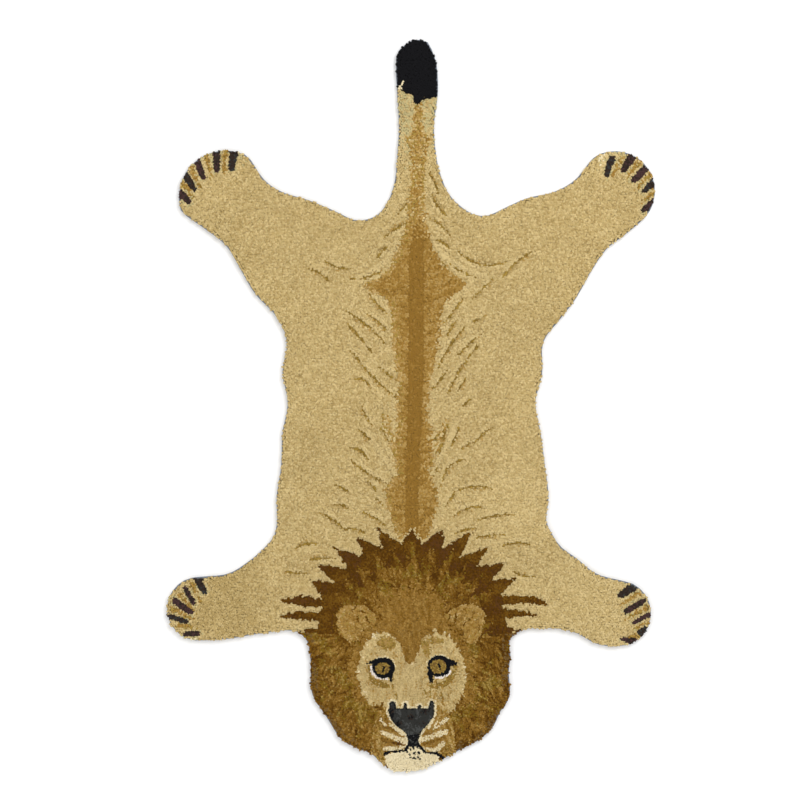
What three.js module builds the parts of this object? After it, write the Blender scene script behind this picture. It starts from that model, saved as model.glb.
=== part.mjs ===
// A hand-tufted wool rug in the shape of a lion's hide, lying flat and face up.
// Two layers: a cotton backing cloth and the cut pile above it, both cut to one hide outline.
// Millimetres, +Z up. The spine runs along Y with the tail at +Y and the head at -Y.
// The origin is the middle of the underside.
import * as THREE from 'three';

// Overall size, tip of tail to chin and paw to paw
const RUG_LENGTH = 1500;
const RUG_WIDTH = 1000;

// Layers, from the floor up
const BACKING_THICKNESS = 2;
const LAYER_GAP = 0.3;
const PILE_HEIGHT = 12;

// The pile's edge: its foot stands back from the backing's edge, and its top is rounded over by shearing
const PILE_FOOT_INSET = 2;
const PILE_FLARE_INSET = 1.5;
const PILE_SHOULDER_INSET = 3.5;
const PILE_TOP_INSET = 7.5;
const PILE_FLARE_HEIGHT = 8;
const PILE_SHOULDER_HEIGHT = 11;

// Steps along the outline and across a paw
const OUTLINE_STEPS = 320;
const PAW_STEPS = 9;

// Sections of the hide. along is the place along the rug, towards the tail from its middle,
// and left and right are the places of its two edges across the rug.
const TAIL_SECTIONS = [
  { along: 745, left: 3, right: 31 },
  { along: 735, left: -13, right: 39 },
  { along: 720, left: -27, right: 46 },
  { along: 697, left: -30, right: 53 },
  { along: 640, left: -28, right: 56 },
  { along: 570, left: -24, right: 48 },
  { along: 500, left: -28, right: 54 },
  { along: 465, left: -31, right: 63 },
  { along: 430, left: -40, right: 79 },
  { along: 407, left: -52, right: 101 },
];

const TRUNK_SECTIONS = [
  { along: 128, left: -254, right: 272 },
  { along: 64, left: -263, right: 270 },
  { along: 5, left: -252, right: 256 },
  { along: -60, left: -263, right: 267 },
  { along: -130, left: -266, right: 276 },
  { along: -190, left: -275, right: 283 },
  { along: -238, left: -274, right: 278 },
];

const HEAD_SECTIONS = [
  { along: -484, left: -212, right: 202 },
  { along: -512, left: -206, right: 205 },
  { along: -548, left: -205, right: 201 },
  { along: -580, left: -205, right: 204 },
  { along: -604, left: -197, right: 201 },
  { along: -628, left: -180, right: 184 },
  { along: -658, left: -161, right: 170 },
  { along: -684, left: -144, right: 144 },
  { along: -700, left: -117, right: 113 },
  { along: -716, left: -79, right: 84 },
  { along: -734, left: -60, right: 50 },
  { along: -748, left: -36, right: 20 },
];

// Each leg has an edge towards the tail, a round paw and an edge towards the head.
// out is the distance from the spine. A paw's arc runs from its tailward to its headward angle, in degrees,
// counted from straight out, with the tail's side positive.
const HIND_RIGHT_LEG = {
  tailward: [
    { out: 130, along: 389 },
    { out: 158, along: 387 },
    { out: 196, along: 404 },
    { out: 240, along: 423 },
    { out: 290, along: 434 },
    { out: 335, along: 458 },
  ],
  paw: { out: 419, along: 437, radius: 82, tailward: 119, headward: -37 },
  headward: [
    { out: 440, along: 348 },
    { out: 403, along: 320 },
    { out: 370, along: 272 },
    { out: 338, along: 216 },
    { out: 305, along: 173 },
  ],
};

const HIND_LEFT_LEG = {
  tailward: [
    { out: 69, along: 387 },
    { out: 110, along: 377 },
    { out: 155, along: 396 },
    { out: 205, along: 417 },
    { out: 270, along: 438 },
    { out: 302, along: 462 },
  ],
  paw: { out: 380, along: 425, radius: 95, tailward: 118, headward: -17 },
  headward: [
    { out: 428, along: 364 },
    { out: 378, along: 325 },
    { out: 348, along: 275 },
    { out: 320, along: 228 },
    { out: 273, along: 177 },
  ],
};

const FRONT_RIGHT_LEG = {
  tailward: [
    { out: 288, along: -261 },
    { out: 306, along: -289 },
    { out: 342, along: -316 },
    { out: 380, along: -346 },
  ],
  paw: { out: 426, along: -427, radius: 67, tailward: 84, headward: -88 },
  headward: [
    { out: 384, along: -491 },
    { out: 338, along: -467 },
    { out: 296, along: -458 },
    { out: 226, along: -462 },
  ],
};

const FRONT_LEFT_LEG = {
  tailward: [
    { out: 280, along: -269 },
    { out: 305, along: -298 },
    { out: 332, along: -321 },
    { out: 374, along: -346 },
  ],
  paw: { out: 434, along: -418, radius: 65.5, tailward: 92, headward: -100 },
  headward: [
    { out: 372, along: -479 },
    { out: 312, along: -469 },
    { out: 250, along: -462 },
    { out: 226, along: -468 },
  ],
};

// Colours and finishes
const PILE_COLOUR = 0xbfa673;
const PILE_ROUGHNESS = 0.95;
const BACKING_COLOUR = 0x7f8790;
const BACKING_ROUGHNESS = 0.9;

const RIGHT = 1;
const LEFT = -1;

// Points round a paw, from its tailward to its headward end
function pawArc(paw) {
  const points = [];
  for (let step = 0; step <= PAW_STEPS; step += 1) {
    const degrees = THREE.MathUtils.lerp(paw.tailward, paw.headward, step / PAW_STEPS);
    const angle = THREE.MathUtils.degToRad(degrees);
    points.push({
      out: paw.out + paw.radius * Math.cos(angle),
      along: paw.along + paw.radius * Math.sin(angle),
    });
  }
  return points;
}

// One leg's edge from the tail's side round the paw to the head's side
function legEdge(leg, side) {
  const stations = [...leg.tailward, ...pawArc(leg.paw), ...leg.headward];
  return stations.map((station) => new THREE.Vector3(side * station.out, station.along, 0));
}

// One side's edge of a table of sections, in the table's order from tail to head
function sectionEdge(sections, side) {
  return sections.map((section) => {
    const across = side === RIGHT ? section.right : section.left;
    return new THREE.Vector3(across, section.along, 0);
  });
}

// One whole side of the hide, from the tail's tip to the chin
function sideEdge(hindLeg, frontLeg, side) {
  return [
    ...sectionEdge(TAIL_SECTIONS, side),
    ...legEdge(hindLeg, side),
    ...sectionEdge(TRUNK_SECTIONS, side),
    ...legEdge(frontLeg, side),
    ...sectionEdge(HEAD_SECTIONS, side),
  ];
}

// Moves and scales a loop so that its box is exactly the rug's length and width, centred on the origin
function fitToRug(loop) {
  const box = new THREE.Box2().setFromPoints(loop);
  const size = box.getSize(new THREE.Vector2());
  const centre = box.getCenter(new THREE.Vector2());
  const scale = new THREE.Vector2(RUG_WIDTH / size.x, RUG_LENGTH / size.y);
  return loop.map((point) => point.clone().sub(centre).multiply(scale));
}

// The hide's outline as a counter-clockwise loop of evenly spaced points on one smooth curve
function hideOutline() {
  const left = sideEdge(HIND_LEFT_LEG, FRONT_LEFT_LEG, LEFT);
  const right = sideEdge(HIND_RIGHT_LEG, FRONT_RIGHT_LEG, RIGHT).reverse();
  const curve = new THREE.CatmullRomCurve3([...left, ...right], true, 'centripetal');
  curve.arcLengthDivisions = 4 * OUTLINE_STEPS;
  const spaced = curve.getSpacedPoints(OUTLINE_STEPS).slice(0, -1);
  return fitToRug(spaced.map((point) => new THREE.Vector2(point.x, point.y)));
}

// The loop moved inwards by a distance, along the normal of each point's two neighbours
function insetLoop(loop, distance) {
  return loop.map((point, index) => {
    const before = loop[(index + loop.length - 1) % loop.length];
    const after = loop[(index + 1) % loop.length];
    const tangent = after.clone().sub(before).normalize();
    const inward = new THREE.Vector2(-tangent.y, tangent.x);
    return point.clone().addScaledVector(inward, distance);
  });
}

// A closed solid through the outline at each level, from the lowest up, with flat caps at both ends
function layeredSheet(outline, levels) {
  const count = outline.length;
  const rings = levels.map((level) => insetLoop(outline, level.inset));
  const positions = [];
  rings.forEach((ring, level) => {
    ring.forEach((point) => positions.push(point.x, point.y, levels[level].height));
  });

  const indices = [];
  for (let level = 0; level < levels.length - 1; level += 1) {
    for (let step = 0; step < count; step += 1) {
      const next = (step + 1) % count;
      const low = level * count;
      const high = low + count;
      indices.push(low + step, low + next, high + next);
      indices.push(low + step, high + next, high + step);
    }
  }

  const top = (levels.length - 1) * count;
  THREE.ShapeUtils.triangulateShape(rings[0], []).forEach(([a, b, c]) => indices.push(c, b, a));
  THREE.ShapeUtils.triangulateShape(rings[rings.length - 1], []).forEach(([a, b, c]) => {
    indices.push(top + a, top + b, top + c);
  });

  const geometry = new THREE.BufferGeometry();
  geometry.setAttribute('position', new THREE.Float32BufferAttribute(positions, 3));
  geometry.setIndex(indices);
  geometry.computeVertexNormals();
  return geometry;
}

function pileWool() {
  return new THREE.MeshStandardMaterial({ color: PILE_COLOUR, roughness: PILE_ROUGHNESS, metalness: 0 });
}

function backingCotton() {
  return new THREE.MeshStandardMaterial({ color: BACKING_COLOUR, roughness: BACKING_ROUGHNESS, metalness: 0 });
}

// The backing cloth: a thin flat sheet on the floor, cut square at its edge
function makeBacking(outline) {
  const sheet = layeredSheet(outline, [
    { height: 0, inset: 0 },
    { height: BACKING_THICKNESS, inset: 0 },
  ]);
  const backing = new THREE.Mesh(sheet, backingCotton());
  backing.name = 'backing';
  return backing;
}

// The pile: one tufted field, upright at its edge and rounded over at the top
function makePile(outline) {
  const field = layeredSheet(outline, [
    { height: 0, inset: PILE_FOOT_INSET },
    { height: PILE_FLARE_HEIGHT, inset: PILE_FLARE_INSET },
    { height: PILE_SHOULDER_HEIGHT, inset: PILE_SHOULDER_INSET },
    { height: PILE_HEIGHT, inset: PILE_TOP_INSET },
  ]);
  const pile = new THREE.Mesh(field, pileWool());
  pile.name = 'pile';
  pile.position.z = BACKING_THICKNESS + LAYER_GAP;
  return pile;
}

function makeRug() {
  const outline = hideOutline();
  const rug = new THREE.Group();
  rug.name = 'lion_skin_rug';
  rug.add(makeBacking(outline), makePile(outline));
  return rug;
}

export default makeRug();
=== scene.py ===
"""A lion-skin-shaped hand-tufted wool rug, dressed around its fixed frame.

The rug is made as the real one is: a woven backing cloth, the close ground of yarn stems on it, and the cut
tufts themselves, sorted into lots by yarn. Every tuft has a place on the hide. The pattern says which yarn
it is cut from, how far it is sheared down and how far it flares out at the edge.

Places on the pattern are millimetres on the hide: across is +X, to the right with the tail up, and along is
+Y, from the rug's middle towards the tail's tip. MM turns them into metres. Only the fur lines are given as
places on the photograph, in pixels, which worked() turns into strokes.
"""

from __future__ import annotations

import logging
import math
from dataclasses import dataclass, field
from enum import Enum
from typing import Protocol

import bpy
import numpy as np
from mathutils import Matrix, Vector
from mathutils.geometry import delaunay_2d_cdt

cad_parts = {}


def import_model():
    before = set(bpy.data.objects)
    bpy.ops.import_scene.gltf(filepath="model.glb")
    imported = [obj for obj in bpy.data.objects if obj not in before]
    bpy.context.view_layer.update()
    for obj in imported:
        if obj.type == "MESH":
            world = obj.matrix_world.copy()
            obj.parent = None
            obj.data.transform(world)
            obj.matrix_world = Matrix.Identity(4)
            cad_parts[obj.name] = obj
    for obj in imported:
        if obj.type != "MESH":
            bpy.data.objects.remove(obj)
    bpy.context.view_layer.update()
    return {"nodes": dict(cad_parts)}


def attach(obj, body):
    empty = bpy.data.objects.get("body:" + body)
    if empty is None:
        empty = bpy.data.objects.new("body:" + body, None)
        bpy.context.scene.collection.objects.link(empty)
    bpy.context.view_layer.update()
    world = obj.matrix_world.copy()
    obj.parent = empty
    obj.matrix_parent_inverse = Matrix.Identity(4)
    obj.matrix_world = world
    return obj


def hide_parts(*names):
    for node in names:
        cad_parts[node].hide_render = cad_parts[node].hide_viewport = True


LOG = logging.getLogger("rug")
MM = 0.001
SEED = 4127

# Heights above the floor, in millimetres
BACKING_TOP = 2.0
PILE_FOOT = 2.3
STEM_TOP = 11.4
PILE_TOP = 14.3

# Strands worked in the pile: their width in millimetres, and the number of steps that noise is averaged over
STRAND_WIDTH = 3.3
STRAND_TAPS = 7

# Cut size of the hide: the rectangle it is cut from, in metres
CUT_SIZE = (1.0, 1.5)

# The photograph: the hide's length on it and the place of the rug's middle, in pixels, and the millimetres of
# the hide in one pixel
PHOTO_LENGTH = 734.0
PHOTO_MIDDLE = (411.0, 405.5)
PIXEL = CUT_SIZE[1] / MM / PHOTO_LENGTH

# Corners on a side of the net that noise is drawn on
NOISE_NET = 256


# The sRGB curve: where its toe ends and how steep that is, and the power and offset above the toe
TOE_END = 0.04045
TOE_SLOPE = 12.92
CURVE_POWER = 2.4
CURVE_OFFSET = 0.055

# The highest draw that still picks a yarn
LAST_LOT = 0.9999

# What counts as one level, in millimetres, the most points measured at a time, and the least size to divide by
SAME_LEVEL = 0.05
BATCH = 4096
LEAST_RISE = 1e-9
LEAST_GAP = 1e-6

# A stroke's depth where it isn't measured, and how far round its places it is, in millimetres
FAR_OUT = -100.0
STROKE_REACH = 30.0

# The decimal places that count when a figure is made whole
WHOLE_DECIMALS = 6


class Yarn(Enum):
    """The dyed yarns, each with its colour in sRGB from 0 to 255."""

    SAND = (188, 165, 112)
    BUFF = (194, 171, 119)
    STRAW = (203, 181, 129)
    WHEAT = (182, 158, 105)
    FLAX = (172, 148, 95)
    OLIVE = (134, 108, 50)
    MOSS = (158, 131, 64)
    CREAM = (221, 206, 167)
    IVORY = (228, 214, 178)
    FAWN = (186, 157, 100)
    SAGE = (182, 168, 120)
    HONEY = (172, 140, 79)
    GOLD = (161, 127, 64)
    OCHRE = (150, 115, 53)
    UMBER = (138, 103, 43)
    FERN = (124, 95, 28)
    TAWNY = (124, 89, 30)
    BRONZE = (111, 77, 21)
    DUSK = (118, 91, 50)
    BARK = (98, 65, 14)
    COCOA = (90, 58, 24)
    MANE = (85, 54, 9)
    PLUM = (70, 50, 48)
    SLATE = (74, 75, 73)
    SOOT = (52, 42, 36)
    BLACK = (20, 20, 22)
    CHARCOAL = (54, 54, 51)
    CHALK = (232, 222, 212)

    @property
    def linear(self) -> np.ndarray:
        """The colour as linear light from 0 to 1, by the sRGB curve's power of 2.4 above its toe."""
        share = np.array(self.value, float) / 255.0
        curve = ((share + CURVE_OFFSET) / (1.0 + CURVE_OFFSET)) ** CURVE_POWER
        return np.where(share > TOE_END, curve, share / TOE_SLOPE)


class Draw(Enum):
    """The random draws, each with the number that it adds to SEED."""

    ROOTS = 0
    COAT_PATCH = 1
    COAT_TONE = 2
    GROOVE_BREAKS = 4
    BAND_STRANDS = 5
    MANE_EDGE = 6
    RUFF_EDGE = 7
    RUFF_STRANDS = 8
    RUFF_STRAY = 9
    FACE_STRANDS = 10
    BROW_STRAY = 11
    RIM_PATCH = 12
    RUFF_PATCH = 13
    BROW_STRANDS = 14
    BAND_STRAY = 15
    RUFF_CURL = 16
    RUFF_GREEN = 17
    RUFF_FRAY = 18
    MANE_FLARE = 19
    TUFTS = 20
    EDGE_FLARE = 21
    MUZZLE_STRANDS = 22
    NOSE_PATCH = 23
    YARN = 40
    STEM_PLACES = 60
    STEMS = 61


def source_of(draw: Draw, extra: int = 0) -> np.random.Generator:
    """The random source of a draw, started from SEED, the draw's number and any extra."""
    return np.random.default_rng(SEED + draw.value + extra)


YARNS = list(Yarn)


def yarn_index(yarn: Yarn) -> int:
    """The yarn's number in the list of yarns."""
    return YARNS.index(yarn)


@dataclass(frozen=True)
class Blend:
    """Yarns that are tufted together, each with its share of the tufts."""

    shares: tuple[tuple[Yarn, float], ...]

    def pick(self, lot: np.ndarray) -> np.ndarray:
        """Gives each tuft a yarn: the first whose running sum of shares passes the tuft's lot.

        Args:
            lot: A number from 0 to 1 for each tuft.

        Returns:
            The yarns' numbers.
        """
        yarns = np.array([yarn_index(yarn) for yarn, _ in self.shares])
        steps = np.cumsum([share for _, share in self.shares])
        return yarns[np.searchsorted(steps / steps[-1], np.clip(lot, 0.0, LAST_LOT), side="right")]


def mix(**shares: float) -> Blend:
    """A blend from yarns' names in lower case and their shares, in the order that lots pick them."""
    return Blend(tuple((Yarn[name.upper()], share) for name, share in shares.items()))


def value_noise(points: np.ndarray, cell: float, draw: Draw) -> np.ndarray:
    """Smooth noise from -1 to 1.

    Random values stand at the corners of a square net, and each point takes the blend of its cell's four
    corners, weighted by 3t^2 - 2t^3 of its place t in the cell.

    Args:
        points: Places, two columns.
        cell: The net's spacing, in the places' unit.
        draw: Which random values.

    Returns:
        One value for each place.
    """
    net = source_of(draw).uniform(-1.0, 1.0, (NOISE_NET, NOISE_NET))
    place = points / cell + NOISE_NET / 2.0
    corner = np.floor(place).astype(int)
    t = place - corner
    t = t * t * (3.0 - 2.0 * t)
    column, row = corner[:, 0] % NOISE_NET, corner[:, 1] % NOISE_NET
    right, above = (column + 1) % NOISE_NET, (row + 1) % NOISE_NET
    low = net[column, row] * (1.0 - t[:, 0]) + net[right, row] * t[:, 0]
    high = net[column, above] * (1.0 - t[:, 0]) + net[right, above] * t[:, 0]
    return low * (1.0 - t[:, 1]) + high * t[:, 1]


def strands(points: np.ndarray, heading: np.ndarray, reach: float, draw: Draw) -> np.ndarray:
    """Noise drawn out into strands: the mean of fine noise at even steps both ways along each point's heading.

    The mean is multiplied by the root of the number of steps, so that it keeps the fine noise's spread.

    Args:
        points: Places in millimetres.
        heading: The strand's direction at each place, in radians from +X.
        reach: How far a strand runs each way.
        draw: Which noise.

    Returns:
        One value for each place, from about -1 to 1.
    """
    way = np.stack([np.cos(heading), np.sin(heading)], axis=1)
    taps = np.linspace(-reach, reach, STRAND_TAPS)
    fine = [value_noise(points + way * tap, STRAND_WIDTH, draw) for tap in taps]
    return np.mean(fine, axis=0) * math.sqrt(STRAND_TAPS)


def smooth_step(value: np.ndarray, low: float, high: float) -> np.ndarray:
    """From 0 at low to 1 at high along 3t^2 - 2t^3, and level beyond."""
    t = np.clip((value - low) / (high - low), 0.0, 1.0)
    return t * t * (3.0 - 2.0 * t)


@dataclass
class Outline:
    """The hide's edge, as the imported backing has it: a counter-clockwise loop in millimetres."""

    loop: np.ndarray

    @classmethod
    def of_node(cls, node: bpy.types.Object) -> Outline:
        """Reads the loop round a node's flat underside.

        A side of an underside triangle that no other triangle shares backwards lies on the edge, and the
        sides are walked end to end.

        Args:
            node: The CAD object, whose underside is its lowest level.

        Returns:
            The outline.
        """
        mesh = node.data
        mesh.calc_loop_triangles()
        points = np.empty(len(mesh.vertices) * 3, np.float32)
        mesh.vertices.foreach_get("co", points)
        corners = np.empty(len(mesh.loop_triangles) * 3, np.int32)
        mesh.loop_triangles.foreach_get("vertices", corners)
        places = np.round(points.reshape(-1, 3).astype(float) / MM, 2)
        places, same = np.unique(places, axis=0, return_inverse=True)
        triangles = same.reshape(-1)[corners].reshape(-1, 3)
        level = places[:, 2] < places[:, 2].min() + SAME_LEVEL
        under = triangles[level[triangles].all(axis=1)]
        sides = np.concatenate([under[:, [0, 1]], under[:, [1, 2]], under[:, [2, 0]]])
        forward = sides[:, 0] * len(places) + sides[:, 1]
        backward = sides[:, 1] * len(places) + sides[:, 0]
        rim = sides[~np.isin(forward, backward)]
        follows = dict(zip(rim[:, 1].tolist(), rim[:, 0].tolist()))
        walk = [int(rim[0, 0])]
        while len(walk) < len(rim):
            walk.append(follows[walk[-1]])
        return cls(places[walk, :2])

    def inset(self, distance: float | np.ndarray) -> np.ndarray:
        """The loop moved inwards along the normal of each point's two neighbours.

        Args:
            distance: How far, in millimetres, for all points or for each.

        Returns:
            The moved loop.
        """
        tangent = np.roll(self.loop, -1, axis=0) - np.roll(self.loop, 1, axis=0)
        tangent /= np.linalg.norm(tangent, axis=1, keepdims=True)
        inward = np.stack([-tangent[:, 1], tangent[:, 0]], axis=1)
        return self.loop + inward * np.reshape(distance, (-1, 1))

    def depth(self, points: np.ndarray) -> tuple[np.ndarray, np.ndarray]:
        """How far each point lies inside the edge, and which way the edge is.

        The distance is to the nearest point of the nearest side. Its sign comes from how many sides a line
        drawn from the point along +X crosses: an odd count is inside.

        Args:
            points: Places in millimetres.

        Returns:
            Depths in millimetres, negative outside, and unit vectors towards the nearest edge.
        """
        start, end = self.loop, np.roll(self.loop, -1, axis=0)
        side = end - start
        square = (side * side).sum(axis=1)
        depths, ways = [], []
        for part in np.array_split(points, max(1, len(points) // BATCH)):
            gap = part[:, None, :] - start[None]
            t = np.clip((gap * side).sum(axis=2) / square, 0.0, 1.0)
            to_side = t[..., None] * side - gap
            length = np.linalg.norm(to_side, axis=2)
            nearest = length.argmin(axis=1)
            rows = np.arange(len(part))
            far = length[rows, nearest]
            spans = (start[:, 1] > part[:, None, 1]) != (end[:, 1] > part[:, None, 1])
            rise = np.where(side[:, 1] == 0.0, LEAST_RISE, side[:, 1])
            cross = start[:, 0] + (part[:, None, 1] - start[:, 1]) / rise * side[:, 0]
            inside = (spans & (cross > part[:, None, 0])).sum(axis=1) % 2 == 1
            depths.append(np.where(inside, far, -far))
            ways.append(to_side[rows, nearest] / np.maximum(far, LEAST_GAP)[:, None])
        return np.concatenate(depths), np.concatenate(ways)


@dataclass
class Pile:
    """The tufts as whole arrays, one entry each, with lengths in millimetres.

    Each has its root, the pitch it stands at, its depth inside the hide's edge and the way to that edge. The
    pattern sets its yarn, how deep it is carved, its tone, how far it flares out at the edge and how calm it is,
    from 1 down to 0 for a tuft that is just like its neighbours. A tuft's lot picks it a yarn from a blend, and
    its chance decides whether it is sewn at all where colours mix. It reads the pattern at its root, close to
    it, or further off for ragged edges.
    """

    root: np.ndarray
    pitch: np.ndarray
    depth: np.ndarray
    way_out: np.ndarray
    draw: Draw
    ragged: float = 2.2
    close_by: float = 0.5
    yarn: np.ndarray = field(init=False)
    carve: np.ndarray = field(init=False)
    tone: np.ndarray = field(init=False)
    flare: np.ndarray = field(init=False)
    lot: np.ndarray = field(init=False)
    chance: np.ndarray = field(init=False)
    calm: np.ndarray = field(init=False)
    read: np.ndarray = field(init=False)
    close: np.ndarray = field(init=False)

    def __post_init__(self) -> None:
        """Draws each tuft's lot and the place where it reads the pattern."""
        rng = source_of(self.draw)
        count = len(self.root)
        self.yarn = np.zeros(count, int)
        self.carve = np.zeros(count)
        self.flare = np.ones(count)
        self.tone = rng.normal(0.0, 1.0, count).clip(-2.0, 2.0)
        self.lot = rng.uniform(0.0, 1.0, count)
        self.chance = rng.uniform(0.0, 1.0, count)
        self.calm = np.ones(count)
        shift = rng.uniform(-1.0, 1.0, (count, 2))
        self.read = self.root + shift * self.ragged
        self.close = self.root + shift * self.close_by

    def sew(self, mask: np.ndarray, blend: Blend, lot: np.ndarray | None = None) -> None:
        """Gives the tufts of a mask their yarns.

        Args:
            mask: Which tufts.
            blend: The yarns.
            lot: Numbers from 0 to 1 that pick the yarn, in place of each tuft's own.
        """
        self.yarn[mask] = blend.pick((self.lot if lot is None else lot)[mask])

    def cut(self, depth: np.ndarray) -> None:
        """Shears the tufts down by a depth where that is lower than they are."""
        self.carve = np.maximum(self.carve, depth)

    def groove(self, gap: np.ndarray, depth: float, width: float, where: np.ndarray | float = 1.0) -> None:
        """Carves a groove: its depth times e to the power of minus the square of the gap over the width.

        Args:
            gap: Each tuft's distance from the groove's middle.
            depth: The groove's depth.
            width: The gap at which it is down to about a third of that.
            where: 1 for tufts that it may reach and 0 for others.
        """
        self.cut(depth * np.exp(-((gap / width) ** 2)) * where)

    def lots(self, own: float, noise: np.ndarray, share: float) -> np.ndarray:
        """Lots about a half: a part of each tuft's own lot plus a share of noise, kept from 0 to 1.

        Args:
            own: How much of the tuft's own lot counts.
            noise: One value for each tuft, about nought.
            share: How much of the noise counts.

        Returns:
            One lot for each tuft.
        """
        return np.clip(0.5 + own * (self.lot - 0.5) + share * noise, 0.0, 1.0)


@dataclass(frozen=True)
class Section:
    """One cross-section of a band: its place along the hide, and its left and right edges."""

    along: float
    left: float
    right: float


def between(points: np.ndarray, sections: tuple[Section, ...]) -> np.ndarray:
    """How far each point lies inside the band between two edges.

    The edges are straight between sections, from the tail down, and the result is the lesser distance to the
    two, level with the spine.

    Args:
        points: Places in millimetres.
        sections: The band's sections, in falling order of along.

    Returns:
        Distances, negative outside the edges or past the first or last section.
    """
    down = -points[:, 1]
    steps = [-section.along for section in sections]
    left = np.interp(down, steps, [section.left for section in sections])
    right = np.interp(down, steps, [section.right for section in sections])
    inside = np.minimum(points[:, 0] - left, right - points[:, 0])
    return np.minimum(inside, np.minimum(down - steps[0], steps[-1] - down))


def ellipse(
    points: np.ndarray, centre: tuple[float, float], radii: tuple[float, float], turn: float = 0.0
) -> np.ndarray:
    """How deep each point lies in an ellipse: 1 at its centre, 0 on its edge and less outside.

    Args:
        points: Places in millimetres.
        centre: The ellipse's centre.
        radii: Its half-lengths before it is turned.
        turn: Its turn in degrees, counter-clockwise.

    Returns:
        One less the distance from the centre, measured in radii.
    """
    angle = math.radians(turn)
    gap = points - np.array(centre)
    first = gap[:, 0] * math.cos(angle) + gap[:, 1] * math.sin(angle)
    second = gap[:, 1] * math.cos(angle) - gap[:, 0] * math.sin(angle)
    return 1.0 - np.hypot(first / radii[0], second / radii[1])


def along_path(points: np.ndarray, path: np.ndarray) -> tuple[np.ndarray, np.ndarray, np.ndarray]:
    """Where points lie beside a path.

    Args:
        points: Places in millimetres.
        path: The path's corners in order.

    Returns:
        The distance to the path, the share of its length walked at the nearest place, and the side: 1 on
        the left of the walking direction and -1 on its right.
    """
    start, side = path[:-1], np.diff(path, axis=0)
    long = np.linalg.norm(side, axis=1)
    walked = np.concatenate([[0.0], np.cumsum(long)])
    gap = points[:, None, :] - start[None]
    t = np.clip((gap * side).sum(axis=2) / (long * long), 0.0, 1.0)
    away = gap - t[..., None] * side
    length = np.linalg.norm(away, axis=2)
    nearest = length.argmin(axis=1)
    rows = np.arange(len(points))
    share = (walked[nearest] + t[rows, nearest] * long[nearest]) / walked[-1]
    turn = side[nearest, 0] * gap[rows, nearest, 1] - side[nearest, 1] * gap[rows, nearest, 0]
    return length[rows, nearest], share, np.where(turn > 0.0, 1.0, -1.0)


@dataclass(frozen=True)
class Stroke:
    """One worked line: its start, heading, length and bend, and its half-width at start, end and middle.

    Lengths are millimetres. The heading is in degrees from +X, counter-clockwise, and bend is how far it turns.
    """

    x: float
    y: float
    heading: float
    length: float
    bend: float = 0.0
    width: float = 3.0
    end: float = 3.0
    belly: float = 0.0

    def path(self, steps: int = 8) -> np.ndarray:
        """The stroke's middle line, in even steps whose heading turns steadily."""
        angles = np.radians(self.heading + self.bend * (np.arange(steps) + 0.5) / steps)
        step = np.stack([np.cos(angles), np.sin(angles)], axis=1) * self.length / steps
        return np.vstack([(self.x, self.y), np.array((self.x, self.y)) + np.cumsum(step, axis=0)])

    def near(self, points: np.ndarray, reach: float) -> np.ndarray:
        """The numbers of the points inside the path's box, widened by a reach."""
        path = self.path()
        low, high = path.min(axis=0) - reach, path.max(axis=0) + reach
        return np.flatnonzero(((points > low) & (points < high)).all(axis=1))

    def half_width(self, share: np.ndarray) -> np.ndarray:
        """Half the width at each share of the length: even from start to end, plus the belly's half sine."""
        return self.width + (self.end - self.width) * share + self.belly * np.sin(np.pi * share)

    def depth(self, points: np.ndarray) -> np.ndarray:
        """How far each point lies inside the stroke's edge, in millimetres, and negative outside.

        Args:
            points: Places in millimetres.

        Returns:
            The half-width there less the distance to the middle line.
        """
        depths = np.full(len(points), FAR_OUT)
        chosen = self.near(points, STROKE_REACH)
        if len(chosen):
            gap, share, _ = along_path(points[chosen], self.path())
            depths[chosen] = self.half_width(share) - gap
        return depths


@dataclass(frozen=True)
class Round:
    """One ellipse: its centre, half-lengths across and along, and turn in degrees, counter-clockwise."""

    x: float
    y: float
    across: float
    along: float
    turn: float = 0.0

    def depth(self, points: np.ndarray) -> np.ndarray:
        """How far each point lies inside the edge, in millimetres, by the lesser half-length."""
        share = ellipse(points, (self.x, self.y), (self.across, self.along), self.turn)
        return share * min(self.across, self.along)


def deepest(shapes: tuple[Stroke | Round, ...], points: np.ndarray) -> np.ndarray:
    """How far each point lies inside the union of shapes: the greatest depth in any."""
    return np.max([shape.depth(points) for shape in shapes], axis=0)


def whole(value: np.ndarray | float) -> np.ndarray | float:
    """The nearest whole number, with halves taken up. Figures past the sixth decimal place don't count."""
    return np.floor(np.round(value, WHOLE_DECIMALS) + 0.5)


def worked(start: tuple[int, int], middle: tuple[int, int], end: tuple[int, int]) -> Stroke:
    """The stroke through three places that were read off the photograph, in whole pixels.

    Its length is that of the two chords between them, its bend is twice the turn from the first chord to the
    second, and it sets out half that turn before the first chord. All are taken to the nearest millimetre or
    degree.

    Args:
        start: Where the line starts.
        middle: A place about half-way along it.
        end: Where it ends.

    Returns:
        The stroke.
    """
    places = (np.array((start, middle, end), float) - PHOTO_MIDDLE) * (PIXEL, -PIXEL)
    chords = np.diff(places, axis=0)
    first, second = np.degrees(np.arctan2(chords[:, 1], chords[:, 0]))
    turn = (second - first + 180.0) % 360.0 - 180.0
    length = np.hypot(chords[:, 0], chords[:, 1]).sum()
    heading = (first - turn / 2.0) % 360.0
    return Stroke(*whole(places[0]), whole(heading), whole(length), whole(2.0 * turn))


@dataclass(frozen=True)
class Wash:
    """A stretch of the hide whose yarns run lighter or darker than the rest."""

    centre: tuple[float, float]
    radius: float
    shift: float


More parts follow.
